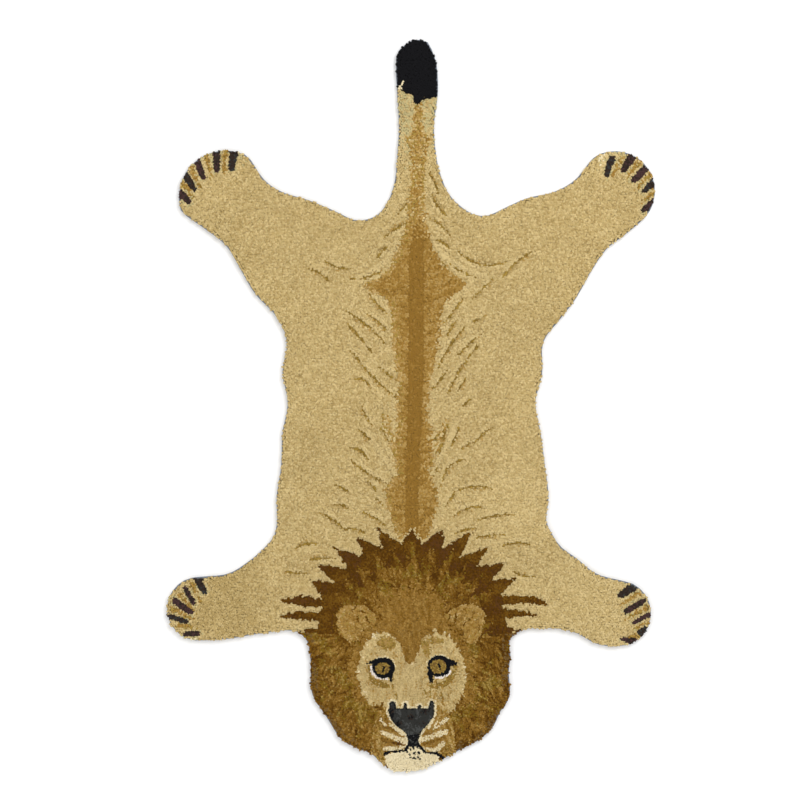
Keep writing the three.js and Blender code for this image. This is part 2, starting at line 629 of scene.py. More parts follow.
@dataclass
class Coat:
    """The sand-coloured coat: five close yarns, mottled in soft patches, and paler wool at the tail's end."""

    blend: Blend = mix(flax=0.11, wheat=0.25, sand=0.28, buff=0.22, straw=0.14)
    patch: float = 30.0
    patch_strength: float = 0.08
    faded: Blend = mix(sage=0.7, wheat=0.1, buff=0.2)
    faded_from: float = 470.0
    faded_full: float = 590.0
    faded_share: float = 0.8
    tone_patch: float = 110.0
    tone_strength: float = 0.6
    shift_tone: float = 2.0
    wash_full: float = 0.8
    washes: tuple[Wash, ...] = (
        Wash((-390.0, -400.0), 150.0, -0.3),
        Wash((380.0, -400.0), 170.0, 0.2),
        Wash((215.0, -200.0), 130.0, 0.16),
        Wash((-215.0, -100.0), 120.0, -0.06),
    )

    def sew(self, pile: Pile) -> None:
        """Sews the whole hide, each tuft's lot shifted by patch noise and by the washes.

        A wash fades out from its centre as one less the distance over its radius, smoothed.
        """
        shift = self.patch_strength * value_noise(pile.root, self.patch, Draw.COAT_PATCH)
        for wash in self.washes:
            away = np.hypot(*(pile.root - np.array(wash.centre)).T) / wash.radius
            shift += wash.shift * smooth_step(1.0 - away, 0.0, self.wash_full)
        pile.sew(np.ones(len(pile.root), bool), self.blend, np.clip(pile.lot + shift, 0.0, 1.0))
        fade = self.faded_share * smooth_step(pile.root[:, 1], self.faded_from, self.faded_full)
        pile.sew(pile.chance < fade, self.faded)
        tone = self.tone_strength * value_noise(pile.root, self.tone_patch, Draw.COAT_TONE)
        pile.tone += tone + self.shift_tone * shift


# The carved lines of the fur, left and right of the spine. Most are the three places that each was read at, and
# four are strokes: start, heading, length and bend.
LEFT_FURROWS = (
    worked((408, 222), (397, 228), (385, 237)),
    Stroke(-8, 412, 218, 26, 28),
    worked((389, 244), (383, 250), (378, 257)),
    worked((386, 268), (370, 276), (350, 278)),
    worked((352, 268), (338, 267), (325, 260)),
    worked((328, 280), (320, 273), (309, 269)),
    worked((387, 313), (377, 304), (369, 294)),
    worked((384, 342), (366, 325), (342, 309)),
    worked((390, 335), (379, 322), (368, 314)),
    worked((372, 352), (360, 337), (348, 323)),
    worked((397, 398), (376, 379), (350, 348)),
    worked((392, 378), (386, 372), (379, 366)),
    Stroke(-82, 34, 100, 41, 90),
    worked((372, 425), (365, 414), (361, 404)),
    worked((378, 450), (368, 438), (357, 428)),
    Stroke(-40, -84, 116, 44, 10),
    worked((398, 488), (374, 477), (352, 460)),
    worked((368, 460), (360, 450), (350, 447)),
    worked((376, 491), (372, 485), (367, 481)),
    worked((350, 493), (343, 488), (335, 485)),
    worked((383, 505), (379, 501), (375, 498)),
    worked((347, 531), (334, 521), (319, 512)),
    worked((385, 526), (374, 518), (363, 512)),
    worked((347, 508), (340, 505), (333, 505)),
    worked((364, 533), (356, 529), (347, 528)),
    worked((316, 544), (307, 544), (296, 548)),
    worked((334, 558), (322, 558), (310, 559)),
    Stroke(-214, -342, 184, 40, -12),
)
RIGHT_FURROWS = (
    worked((430, 172), (434, 182), (438, 193)),
    worked((432, 195), (438, 206), (446, 215)),
    worked((430, 218), (440, 225), (449, 235)),
    worked((438, 240), (444, 243), (450, 249)),
    worked((432, 249), (440, 259), (449, 273)),
    worked((447, 257), (460, 270), (480, 276)),
    worked((459, 252), (475, 261), (507, 258)),
    worked((503, 277), (516, 263), (532, 251)),
    worked((483, 287), (488, 284), (493, 279)),
    worked((473, 298), (477, 294), (483, 289)),
    worked((443, 325), (452, 314), (463, 298)),
    worked((472, 323), (477, 320), (485, 316)),
    worked((447, 336), (451, 327), (457, 319)),
    worked((439, 367), (447, 352), (466, 329)),
    worked((459, 354), (468, 345), (481, 334)),
    worked((468, 358), (472, 353), (478, 346)),
    worked((455, 378), (460, 369), (468, 360)),
    worked((434, 388), (440, 380), (447, 370)),
    worked((457, 392), (462, 385), (466, 378)),
    worked((448, 393), (450, 388), (453, 382)),
    worked((463, 407), (467, 402), (473, 398)),
    worked((451, 446), (455, 437), (459, 428)),
    worked((440, 452), (443, 440), (448, 424)),
    worked((433, 445), (436, 436), (443, 430)),
    worked((475, 441), (483, 434), (492, 427)),
    worked((462, 449), (467, 445), (474, 443)),
    worked((443, 481), (450, 467), (467, 460)),
    worked((460, 490), (475, 486), (492, 489)),
    worked((433, 477), (436, 469), (439, 461)),
    worked((429, 512), (433, 497), (440, 485)),
    worked((454, 515), (467, 509), (485, 508)),
    worked((479, 520), (494, 516), (513, 515)),
    worked((446, 506), (450, 499), (455, 491)),
    worked((455, 533), (464, 530), (475, 528)),
    worked((477, 538), (490, 535), (504, 534)),
    worked((503, 546), (516, 543), (531, 545)),
    worked((513, 571), (519, 574), (535, 575)),
)


@dataclass
class Fur:
    """The carved fur lines raking out from the spine: dark-yarn grooves, partly painted shade, and a painted
    highlight spinewards.
    """

    # Groove: darker yarn that also paints the carved groove's shade. Ridge highlight: painted highlight
    # spinewards. Shade: painted shade on the far side
    groove: Blend = mix(olive=0.5, moss=0.4, flax=0.1)
    ridge_highlight: Blend = mix(buff=0.45, straw=0.55)
    shade: Blend = mix(honey=0.3, flax=0.7)
    groove_width: float = 2.9
    ridge_highlight_width: float = 10.0
    shade_width: float = 8.0
    carve_depth: float = 2.4
    carve_width: float = 3.8
    dot: float = 5.0
    dot_floor: float = -0.62
    reach_margin: float = 6.0
    end_share: float = 0.05
    groove_ends: float = 0.55
    groove_swell: float = 0.45
    ridge_highlight_chance: float = 0.85
    shade_chance: float = 0.5
    ridge_edge: float = 2.5
    ridge_cut: float = 1.8
    ridge_cut_width: float = 2.2
    highlight_ridges: tuple[Stroke, ...] = (
        Stroke(-88, -54, 298, 104, 10, 3.8, 4.6, 1.0),
        Stroke(47, 330, 307, 130, 44, 4.0, 3.0, 2.0),
        Stroke(-26, 330, 240, 110, -42, 3.6, 2.6, 1.4),
        Stroke(96, -30, 246, 120, -4, 3.0, 3.0, 1.0),
    )

    def sew(self, pile: Pile) -> None:
        """Works every furrow on its side of the spine, and the long ridges beside the band, lit by painted
        highlight.
        """
        for furrow in LEFT_FURROWS:
            self.work(pile, furrow, -1.0)
        for furrow in RIGHT_FURROWS:
            self.work(pile, furrow, 1.0)
        for line in self.highlight_ridges:
            # Painted highlight along the long ridges beside the band
            ridge_highlight = line.depth(pile.read)
            pile.sew(ridge_highlight > 0.0, self.ridge_highlight)
            pile.groove(ridge_highlight + self.ridge_edge, self.ridge_cut, self.ridge_cut_width)

    def work(self, pile: Pile, furrow: Stroke, side: float) -> None:
        """Sews and carves one furrow.

        Its width and depth swell from both ends as the root of its length's sine. A painted highlight lies on
        the ridge where the line's normal points to the spine, and painted shade on the far side. Noise breaks
        the groove into stitches.

        Args:
            pile: The tufts.
            furrow: Its line.
            side: 1 right of the spine and -1 left of it.
        """
        near = furrow.near(pile.root, self.ridge_highlight_width + self.reach_margin)
        path = furrow.path()
        gap, share, hand = along_path(pile.close[near], path)
        swell = np.sin(np.pi * np.clip(share, self.end_share, 1.0 - self.end_share)) ** 0.5
        broken = value_noise(pile.root[near], self.dot, Draw.GROOVE_BREAKS) > self.dot_floor
        spineward = hand * np.sign(side * (path[-1, 1] - path[0, 1])) > 0.0
        # Painted highlight on the spineward ridge, and painted shade on the far side
        ridge_highlight = spineward & (gap > self.groove_width) & (gap < self.ridge_highlight_width * swell)
        pile.sew(chosen_mask(pile, near, ridge_highlight & (pile.chance[near] < self.ridge_highlight_chance)), self.ridge_highlight)
        shade = ~spineward & (gap < self.shade_width * swell) & (pile.chance[near] < self.shade_chance)
        pile.sew(chosen_mask(pile, near, shade), self.shade)
        # The groove's yarn is partly its own darker colour and partly painted shade of the carving
        groove = gap < self.groove_width * (self.groove_ends + self.groove_swell * swell)
        pile.sew(chosen_mask(pile, near, broken & groove), self.groove)
        depth = np.zeros(len(pile.root))
        depth[near] = self.carve_depth * swell * np.exp(-((gap / self.carve_width) ** 2))
        pile.cut(depth)


def chosen_mask(pile: Pile, near: np.ndarray, inside: np.ndarray) -> np.ndarray:
    """A mask over all tufts from one over the near ones."""
    mask = np.zeros(len(pile.root), bool)
    mask[near] = inside
    return mask


# Sections of the golden band down the back with its hip points, of the smooth darker line inside it and of the
# tail's stripe
BACK_BAND = (
    Section(389, -6, 27),
    Section(363, -12, 35),
    Section(337, -22, 43),
    Section(307, -33, 55),
    Section(280, -43, 70),
    Section(264, -62, 92),
    Section(249, -98, 116),
    Section(236, -88, 104),
    Section(224, -64, 88),
    Section(211, -46, 70),
    Section(187, -41, 63),
    Section(118, -37, 56),
    Section(60, -26, 40),
    Section(-9, -31, 33),
    Section(-45, -27, 40),
    Section(-85, -38, 44),
    Section(-140, -30, 39),
    Section(-172, -55, 54),
    Section(-196, -50, 55),
    Section(-214, -47, 55),
    Section(-234, -41, 47),
    Section(-254, -35, 41),
    Section(-285, -20, 28),
)
BACK_LINE = (
    Section(384, 8, 24),
    Section(345, 3, 27),
    Section(300, -5, 27),
    Section(60, -7, 26),
    Section(-20, -8, 22),
    Section(-110, -10, 18),
    Section(-290, -13, 14),
)
TAIL_STRIPE = (
    Section(622, 8, 22),
    Section(573, 4, 23),
    Section(545, -6, 34),
    Section(518, -4, 33),
    Section(488, 0, 27),
    Section(440, -3, 27),
    Section(388, -8, 29),
)


@dataclass
class Back:
    """The golden band along the spine, the smooth line inside it and the forked stripe down the tail."""

    outer_left: Blend = mix(ochre=0.12, gold=0.22, moss=0.2, honey=0.26, fawn=0.2)
    outer_right: Blend = mix(umber=0.14, ochre=0.24, gold=0.28, honey=0.2, fawn=0.14)
    inner: Blend = mix(umber=0.16, ochre=0.34, gold=0.28, honey=0.22)
    line: Blend = mix(umber=0.85, ochre=0.15)
    stripe: Blend = mix(ochre=0.14, moss=0.22, gold=0.16, honey=0.24, fawn=0.14, sand=0.1)
    rim: Blend = mix(sand=0.25, buff=0.4, straw=0.35)
    rim_width: float = 8.0
    fringe: float = 5.0
    soft: float = 3.5
    rake: float = 0.35
    strand_reach: float = 7.0
    strand_share: float = 0.42
    outer_width: float = 13.0
    line_drop: float = 0.8
    spine: float = 9.0
    stray: float = 0.5
    stray_patch: float = 20.0
    rim_from: float = 350.0
    rim_to: float = -262.0
    rim_chance: float = 0.7
    own_lot: float = 0.7
    fan_chance: float = 0.5
    inner_near: float = 0.7
    inner_spread: float = 0.6
    edge_cut: float = 1.6
    edge_cut_width: float = 3.4
    stripe_fringe: float = 0.8
    stripe_chance: float = 0.95
    line_from: float = 392.0
    line_full: float = 330.0
    line_calm: float = 0.35
    forks: tuple[Stroke, ...] = (
        Stroke(24, 514, 68, 48, -8, 4.8, 3.0),
        Stroke(4, 520, 116, 34, 0, 4.8, 2.6),
    )
    fans: tuple[Stroke, ...] = (
        Stroke(70, -36, 252, 98, 0, 7.0, 5.0),
        Stroke(-54, -26, 288, 92, 0, 7.0, 5.0),
    )

    def sew(self, pile: Pile) -> None:
        """Sews the rim, the band, the tail's stripe and the line, each with an edge roughened by noise."""
        rake = self.rake * np.sign(pile.root[:, 0] - self.spine)
        rake += self.stray * value_noise(pile.root, self.stray_patch, Draw.BAND_STRAY)
        strand = strands(pile.root, rake, self.strand_reach, Draw.BAND_STRANDS)
        rough = self.fringe * strand
        band = between(pile.read, BACK_BAND) + rough
        body = (pile.root[:, 1] < self.rim_from) & (pile.root[:, 1] > self.rim_to)
        rim = (band > -self.rim_width) & (band <= 0.0) & body
        pile.sew(rim & (pile.chance < self.rim_chance), self.rim)
        inside = pile.chance < smooth_step(band, -self.soft, self.soft)
        lot = pile.lots(self.own_lot, strand, self.strand_share)
        pile.sew(inside & (pile.root[:, 0] < self.spine), self.outer_left, lot)
        pile.sew(inside & (pile.root[:, 0] >= self.spine), self.outer_right, lot)
        fans = deepest(self.fans, pile.close) + rough
        pile.sew((fans > 0.0) & (pile.chance < self.fan_chance), self.outer_left, lot)
        inner = self.outer_width * (self.inner_near + self.inner_spread * pile.chance)
        pile.sew(band > inner, self.inner, lot)
        pile.groove(band, self.edge_cut, self.edge_cut_width, body)
        stripe = between(pile.read, TAIL_STRIPE) + self.stripe_fringe * rough
        for fork in self.forks:
            stripe = np.maximum(stripe, fork.depth(pile.close))
        pile.sew((stripe > 0.0) & (pile.chance < self.stripe_chance), self.stripe)
        start = smooth_step(pile.root[:, 1], self.line_from, self.line_full)
        line = (between(pile.close, BACK_LINE) > 0.0) & (pile.chance < start)
        pile.sew(line, self.line)
        pile.cut(self.line_drop * line)
        pile.calm[line] = self.line_calm


@dataclass
class TailTip:
    """The black tuft at the end of the tail, its lower edge stepping across the tail."""

    edge_across: tuple[float, ...] = (-30.0, -22.0, -10.0, 3.0, 6.0, 15.0, 22.0, 38.0, 56.0)
    edge_along: tuple[float, ...] = (650.0, 646.0, 638.0, 636.0, 619.0, 615.0, 624.0, 629.0, 629.0)
    nick: Stroke = Stroke(-22, 648, 68, 15, 0, 2.4, 1.8)
    tail_from: float = 560.0
    edge_cut: float = 2.0
    edge_cut_width: float = 3.0
    calm: float = 0.5

    def sew(self, pile: Pile) -> None:
        """Sews black above the edge, which is straight between its steps, and carves a groove along it."""
        above = pile.close[:, 1] - np.interp(pile.close[:, 0], self.edge_across, self.edge_along)
        tail = pile.root[:, 1] > self.tail_from
        black = tail & (above > 0.0)
        pile.sew(black, mix(black=1.0))
        pile.sew(black & (self.nick.depth(pile.close) > 0.0), mix(cream=1.0))
        pile.groove(above, self.edge_cut, self.edge_cut_width, tail)
        pile.calm[black] = self.calm


# Each paw's claws in order round it: outer end, heading inwards, length, bend, and half-width there and at the
# root
PAWS = (
    (
        Stroke(-362, 519, 261, 36, 0, 9.0, 6.0),
        Stroke(-397, 523, 270, 39, 0, 8.0, 6.8),
        Stroke(-438, 500, 292, 37, 0, 6.8, 5.4, 0.8),
        Stroke(-461, 473, 299, 34, 0, 7.0, 5.6, 0.6),
        Stroke(-476, 439, 315, 31, 0, 7.4, 5.6, 0.8),
    ),
    (
        Stroke(411, 505, 249, 35, 6, 6.6, 5.2, 0.8),
        Stroke(453, 510, 236, 32, 0, 8.4, 6.6, 0.4),
        Stroke(486, 492, 226, 42, 0, 6.8, 6.8, 1.0),
        Stroke(499, 460, 223, 33, 0, 7.4, 3.8, 1.0),
        Stroke(498, 418, 219, 30, 0, 7.2, 5.0, 0.6),
    ),
    (
        Stroke(-436, -355, 297, 30, 0, 7.6, 5.0, 0.8),
        Stroke(-462, -374, 300, 35, 0, 4.4, 4.6, 0.8),
        Stroke(-483, -399, 324, 41, 0, 5.8, 5.6, 0.8),
        Stroke(-493, -431, 342, 36, 0, 5.6, 5.0),
        Stroke(-460, -467, 2, 24, 0, 5.4, 5.0),
    ),
    (
        Stroke(456, -371, 211, 33, 0, 8.2, 6.0, 1.0),
        Stroke(476, -399, 211, 41, 0, 5.0, 6.0, 0.4),
        Stroke(492, -424, 209, 41, 0, 4.0, 4.2, 0.6),
        Stroke(490, -457, 196, 21, 0, 8.0, 6.8, 0.8),
        Stroke(466, -484, 168, 34, 0, 6.2, 4.4),
    ),
)


@dataclass
class Claws:
    """Dark claws round each paw with a light edge, and golden shading between the toes."""

    claws: tuple[Blend, ...] = (
        mix(soot=0.7, charcoal=0.3),
        mix(soot=0.6, plum=0.4),
        mix(plum=0.8, soot=0.2),
    )
    edge: Blend = mix(sage=0.3, buff=0.4, straw=0.3)
    toe: Blend = mix(olive=0.1, ochre=0.16, gold=0.3, moss=0.26, honey=0.18)
    pale: Blend = mix(sage=0.4, straw=0.4, cream=0.2)
    edge_width: float = 5.5
    toe_share: float = 1.3
    toe_width: float = 5.2
    toe_out: float = 3.0
    pale_out: float = 17.0
    pale_size: float = 17.0
    pale_full: float = 0.5
    edge_chance: float = 0.85
    toe_chance: float = 0.92
    toe_end: float = 2.2
    claw_cut: float = 1.6
    claw_cut_width: float = 2.0
    calm: float = 0.6

    def sew(self, pile: Pile) -> None:
        """Sews each paw's light edges, then its toes half-way between neighbouring claws, then the claws."""
        for claws in PAWS:
            depths = np.max([claw.depth(pile.close) for claw in claws], axis=0)
            for outer, inner in ((claws[0], claws[1]), (claws[-1], claws[-2])):
                away = np.array((outer.x - inner.x, outer.y - inner.y))
                centre = np.array((outer.x, outer.y)) + away / np.linalg.norm(away) * self.pale_out
                patch = 1.0 - np.linalg.norm(pile.root - centre, axis=1) / self.pale_size
                pile.sew(pile.chance < smooth_step(patch, 0.0, self.pale_full), self.pale)
            pile.sew((depths > -self.edge_width) & (pile.chance < self.edge_chance), self.edge)
            for one, other in zip(claws[:-1], claws[1:]):
                toe = Stroke(
                    (one.x + other.x) / 2.0,
                    (one.y + other.y) / 2.0,
                    one.heading + ((other.heading - one.heading + 180.0) % 360.0 - 180.0) / 2.0,
                    self.toe_share * (one.length + other.length) / 2.0,
                    width=self.toe_width,
                    end=self.toe_end,
                )
                inside = (toe.depth(pile.read) > 0.0) & (pile.depth > self.toe_out)
                pile.sew(inside & (pile.chance < self.toe_chance), self.toe)
            for order, claw in enumerate(claws):
                pile.sew(claw.depth(pile.close) > 0.0, self.claws[order % len(self.claws)])
            pile.groove(depths, self.claw_cut, self.claw_cut_width)
            pile.calm[depths > 0.0] = self.calm


@dataclass(frozen=True)
class Lock:
    """One pointed lock of the mane's dark rim.

    Its base runs from start to end round the head, its point is at tip, all in degrees from straight up the
    spine and positive to the right, and reach is the point's distance from the head's centre.
    """

    start: float
    end: float
    tip: float
    reach: float


LOCKS = (
    Lock(-6.6, 5.4, -0.5, 229),
    Lock(5.4, 18.2, 15.6, 236),
    Lock(18.2, 30.1, 28.6, 253),
    Lock(30.1, 40.9, 39.8, 248),
    Lock(40.9, 52.8, 50.6, 248),
    Lock(52.8, 64.0, 58.7, 246),
    Lock(-18.2, -6.6, -18.4, 243),
    Lock(-31.2, -18.2, -28.8, 240),
    Lock(-42.5, -31.2, -40.7, 250),
    Lock(-54.0, -42.5, -52.2, 250),
    Lock(-65.9, -54.0, -59.6, 246),
)

# The long locks that reach out over the shoulders, and the short ones below them
SIDE_LOCKS = (
    Stroke(-172, -405, 173, 96, 6, 7.0, 1.5, 5.5),
    Stroke(-178, -431, 176, 90, 8, 9.0, 1.5, 3.0),
    Stroke(-178, -466, 170, 46, 8, 11.0, 1.0),
    Stroke(182, -400, 10, 90, -24, 8.5, 6.0, 0.8),
    Stroke(182, -427, 6, 73, -16, 11.0, 1.5, 0.5),
    Stroke(178, -466, 14, 46, -8, 12.0, 1.0),
)


@dataclass
class Mane:
    """The mane: a dark rim of pointed locks round a heathered ruff whose strands run out from the face."""

    centre: tuple[float, float] = (4.0, -479.0)
    strand_centre: tuple[float, float] = (2.0, -540.0)
    valley: float = 196.0
    lock_taper: float = 1.2
    ruff_point: float = 194.0
    ruff_valley: float = 149.0
    ruff_side: float = 156.0
    dark: Blend = mix(cocoa=0.18, mane=0.36, bark=0.28, bronze=0.18)
    ruff: Blend = mix(mane=0.07, bark=0.14, bronze=0.2, tawny=0.24, umber=0.19, ochre=0.11, gold=0.05)
    green: Blend = mix(bark=0.14, bronze=0.16, fern=0.36, olive=0.18, moss=0.16)
    frayed: Blend = mix(bark=0.3, dusk=0.7)
    halo: Blend = mix(sand=0.15, buff=0.4, straw=0.45)
    ragged: float = 4.0
    halo_width: float = 7.0
    hang: float = 130.0
    stray: float = 1.0
    stray_patch: float = 20.0
    curl: float = 0.7
    curl_patch: float = 9.0
    strand_reach: float = 8.0
    strand_share: float = 0.44
    strand_carve: float = 2.4
    ruff_fringe: float = 10.0
    rim_shade: float = 0.2
    free_shade: float = 0.2
    free_flare: float = 2.6
    neck_along: float = -462.0
    neck_out: float = 236.0
    side_angle: float = 66.0
    low_angle: float = 86.0
    hang_angle: float = 110.0
    whole: float = 500.0
    rim_grain: float = 4.5
    halo_chance: float = 0.85
    halo_cut: float = 2.6
    halo_cut_width: float = 3.2
    dark_patch: float = 22.0
    dark_patch_share: float = 0.45
    dark_own: float = 0.75
    fringe_reach: float = 14.0
    fringe_chance: float = 1.2
    ruff_middle: float = 0.52
    ruff_patch: float = 26.0
    ruff_patch_share: float = 0.12
    ruff_own: float = 0.5
    shade_from: float = 105.0
    shade_to: float = 178.0
    free_width: float = 22.0
    green_patch: float = 15.0
    green_chance: float = 0.5
    green_floor: float = 0.3
    frayed_patch: float = 11.0
    frayed_chance: float = 1.2
    frayed_floor: float = 0.1
    frayed_width: float = 16.0
    carve_floor: float = 0.1
    low_cut: float = 0.6
    flare_patch: float = 6.0

    def polar(self, points: np.ndarray) -> tuple[np.ndarray, np.ndarray]:
        """Each point's distance from the head's centre, and its angle in degrees from straight up the spine."""
        gap = points - np.array(self.centre)
        return np.hypot(gap[:, 0], gap[:, 1]), np.degrees(np.arctan2(gap[:, 0], gap[:, 1]))

    def lock_depth(self, radius: np.ndarray, angle: np.ndarray, lock: Lock) -> np.ndarray:
        """How deep each point lies in one lock, in millimetres across it.

        At a share s of the way from the valley to the point, the lock's middle has moved from its base's middle
        to its point's angle, and its half-width has shrunk by (1 - s) to the power of the taper.

        Args:
            radius: Distances from the head's centre.
            angle: Angles from straight up the spine.
            lock: The lock.

        Returns:
            Depths, negative outside.
        """
        s = np.clip((radius - self.valley) / (lock.reach - self.valley), 0.0, 1.0)
        middle = (lock.start + lock.end) / 2.0 * (1.0 - s) + lock.tip * s
        half = (lock.end - lock.start) / 2.0 * (1.0 - s) ** self.lock_taper
        inside = np.radians(half - np.abs(angle - middle)) * radius
        return np.where(radius < lock.reach, inside, -radius)

    def rim_depth(self, pile: Pile) -> np.ndarray:
        """How deep each tuft lies in the mane: the greatest depth in the crest, any lock or the neck."""
        radius, angle = self.polar(pile.close)
        rim = np.where(np.abs(angle) < self.low_angle, self.valley - radius, -radius)
        for lock in LOCKS:
            rim = np.maximum(rim, self.lock_depth(radius, angle, lock))
        for lock in SIDE_LOCKS:
            rim = np.maximum(rim, lock.depth(pile.close))
        sideways = self.neck_out - np.abs(pile.root[:, 0] - self.centre[0])
        return np.maximum(rim, np.minimum(self.neck_along - pile.root[:, 1], sideways))

    def ruff_edge(self, angle: np.ndarray) -> np.ndarray:
        """The ruff's outer edge at each angle.

        Under each lock it rises from its valley to its point as one less the distance from the base's middle
        over its half-width. It is even at the sides, and below them the ruff fills the whole mane.
        """
        edge = np.full(len(angle), self.ruff_valley)
        for lock in LOCKS:
            gap = np.abs(angle - (lock.start + lock.end) / 2.0) / ((lock.end - lock.start) / 2.0)
            edge = np.maximum(edge, self.ruff_valley + (self.ruff_point - self.ruff_valley) * (1.0 - gap))
        edge = np.where(np.abs(angle) > self.side_angle, self.ruff_side, edge)
        return np.where(np.abs(angle) > self.low_angle, self.whole, edge)

    def sew(self, pile: Pile) -> None:
        """Sews the halo of light tufts, the dark rim and the ruff."""
        rim = self.rim_depth(pile) + self.ragged * value_noise(pile.root, self.rim_grain, Draw.MANE_EDGE)
        above = pile.root[:, 1] > self.neck_along
        halo = (rim > -self.halo_width) & (rim <= 0.0) & above
        pile.sew(halo & (pile.chance < self.halo_chance), self.halo)
        pile.groove(rim, self.halo_cut, self.halo_cut_width, above)
        inside = rim > 0.0
        patch = value_noise(pile.root, self.dark_patch, Draw.RIM_PATCH)
        pile.sew(inside, self.dark, pile.lots(self.dark_own, patch, self.dark_patch_share))
        self.sew_ruff(pile, inside)

    def sew_ruff(self, pile: Pile, inside: np.ndarray) -> None:
        """Sews the ruff in strands, which run out from the face above and hang down at the sides, each astray.

        A strand's noise is added to each tuft's lot, less a share towards the dark rim and along the free edge,
        and the sum picks the yarn from dark to light. Patch noise picks greener yarns, and frayed ones at the
        free edge.

        Args:
            pile: The tufts.
            inside: Which of them are in the mane.
        """
        radius, angle = self.polar(pile.root)
        low = smooth_step(np.abs(angle), self.side_angle, self.hang_angle)
        rise = pile.root[:, 1] - self.strand_centre[1] - self.hang * low
        heading = np.arctan2(rise, pile.root[:, 0] - self.strand_centre[0])
        fringe = strands(pile.root, heading, self.fringe_reach, Draw.RUFF_EDGE)
        heading += self.stray * value_noise(pile.root, self.stray_patch, Draw.RUFF_STRAY)
        heading += self.curl * value_noise(pile.root, self.curl_patch, Draw.RUFF_CURL)
        strand = strands(pile.root, heading, self.strand_reach, Draw.RUFF_STRANDS)
        edge = self.ruff_edge(angle) + self.ruff_fringe * (fringe + self.fringe_chance * (pile.chance - 0.5))
        ruff = inside & (radius < edge)
        patch = value_noise(pile.root, self.ruff_patch, Draw.RUFF_PATCH)
        lot = self.ruff_middle + self.strand_share * strand + self.ruff_patch_share * patch
        lot += self.ruff_own * (pile.lot - 0.5)
        lot -= self.rim_shade * smooth_step(radius, self.shade_from, self.shade_to) * (1.0 - low)
        lot -= self.free_shade * smooth_step(self.free_width - pile.depth, 0.0, self.free_width) * low
        lot = np.clip(lot, 0.0, 1.0)
        pile.sew(ruff, self.ruff, lot)
        tint = value_noise(pile.root, self.green_patch, Draw.RUFF_GREEN)
        tint = tint + self.green_chance * (pile.chance - 0.5)
        pile.sew(ruff & (tint > self.green_floor), self.green, lot)
        free = ruff & (pile.root[:, 1] < self.neck_along)
        wear = value_noise(pile.root, self.frayed_patch, Draw.RUFF_FRAY)
        wear = wear + self.frayed_chance * (pile.chance - 0.5)
        pile.sew(free & (wear > self.frayed_floor) & (pile.depth < self.frayed_width), self.frayed)
        gaps = self.strand_carve * np.clip(-strand - self.carve_floor, 0.0, 1.0)
        pile.cut((gaps + self.low_cut * low) * ruff)
        pile.flare[free] += self.free_flare * value_noise(pile.root[free], self.flare_patch, Draw.MANE_FLARE)


@dataclass(frozen=True)
class Ear:
    """One ear: the rounds of its body, its light rims, and the dark lines round and inside it."""

    body: tuple[Round, ...]
    rims: tuple[Stroke, ...]
    lines: tuple[Stroke, ...]


EARS = (
    Ear(
        body=(
            Round(-112, -432, 41, 24, -8),
            Round(-124, -449, 29, 29, 0),
            Round(-119, -464, 17, 20, 0),
        ),
        rims=(
            Stroke(-150, -440, 290, 48, 36, 2.6, 2.6),
            Stroke(-138, -420, 30, 74, -52, 3.0, 2.6, 1.0),
        ),
        lines=(
            Stroke(-101, -402, 330, 38, -18, 2.0, 2.4),
            Stroke(-64, -428, 286, 14, 0, 2.6, 1.6),
            Stroke(-121, -421, 50, 15, 0, 1.6, 1.6),
            Stroke(-106, -419, 340, 14, 0, 1.6, 1.6),
            Stroke(-110, -431, 280, 12, 0, 2.2, 1.6),
            Stroke(-93, -431, 300, 14, 0, 2.0, 1.6),
            Stroke(-158, -428, 282, 40, 0, 2.6, 2.6),
            Stroke(-150, -466, 312, 44, 14, 2.4, 2.4),
        ),
    ),
    Ear(
        body=(
            Round(119, -434, 33, 29, 0),
            Round(126, -460, 19, 29, -16),
            Round(94, -428, 23, 16, 10),
        ),
        rims=(
            Stroke(100, -412, 16, 70, -80, 2.8, 2.8, 0.6),
            Stroke(146, -452, 252, 34, -6, 2.6, 2.6),
        ),
        lines=(
            Stroke(73, -425, 48, 44, -38, 2.0, 1.8),
            Stroke(92, -426, 264, 21, 0, 2.2, 1.6),
            Stroke(125, -432, 222, 25, 0, 1.8, 1.8),
            Stroke(63, -438, 258, 13, 0, 1.8, 1.4),
            Stroke(80, -428, 250, 12, 0, 1.6, 1.4),
            Stroke(104, -420, 30, 13, 0, 1.6, 1.4),
            Stroke(140, -448, 262, 12, 0, 1.6, 1.4),
            Stroke(152, -456, 244, 38, -10, 2.0, 2.0),
            Stroke(151, -434, 278, 14, 0, 2.4, 1.6),
        ),
    ),
)


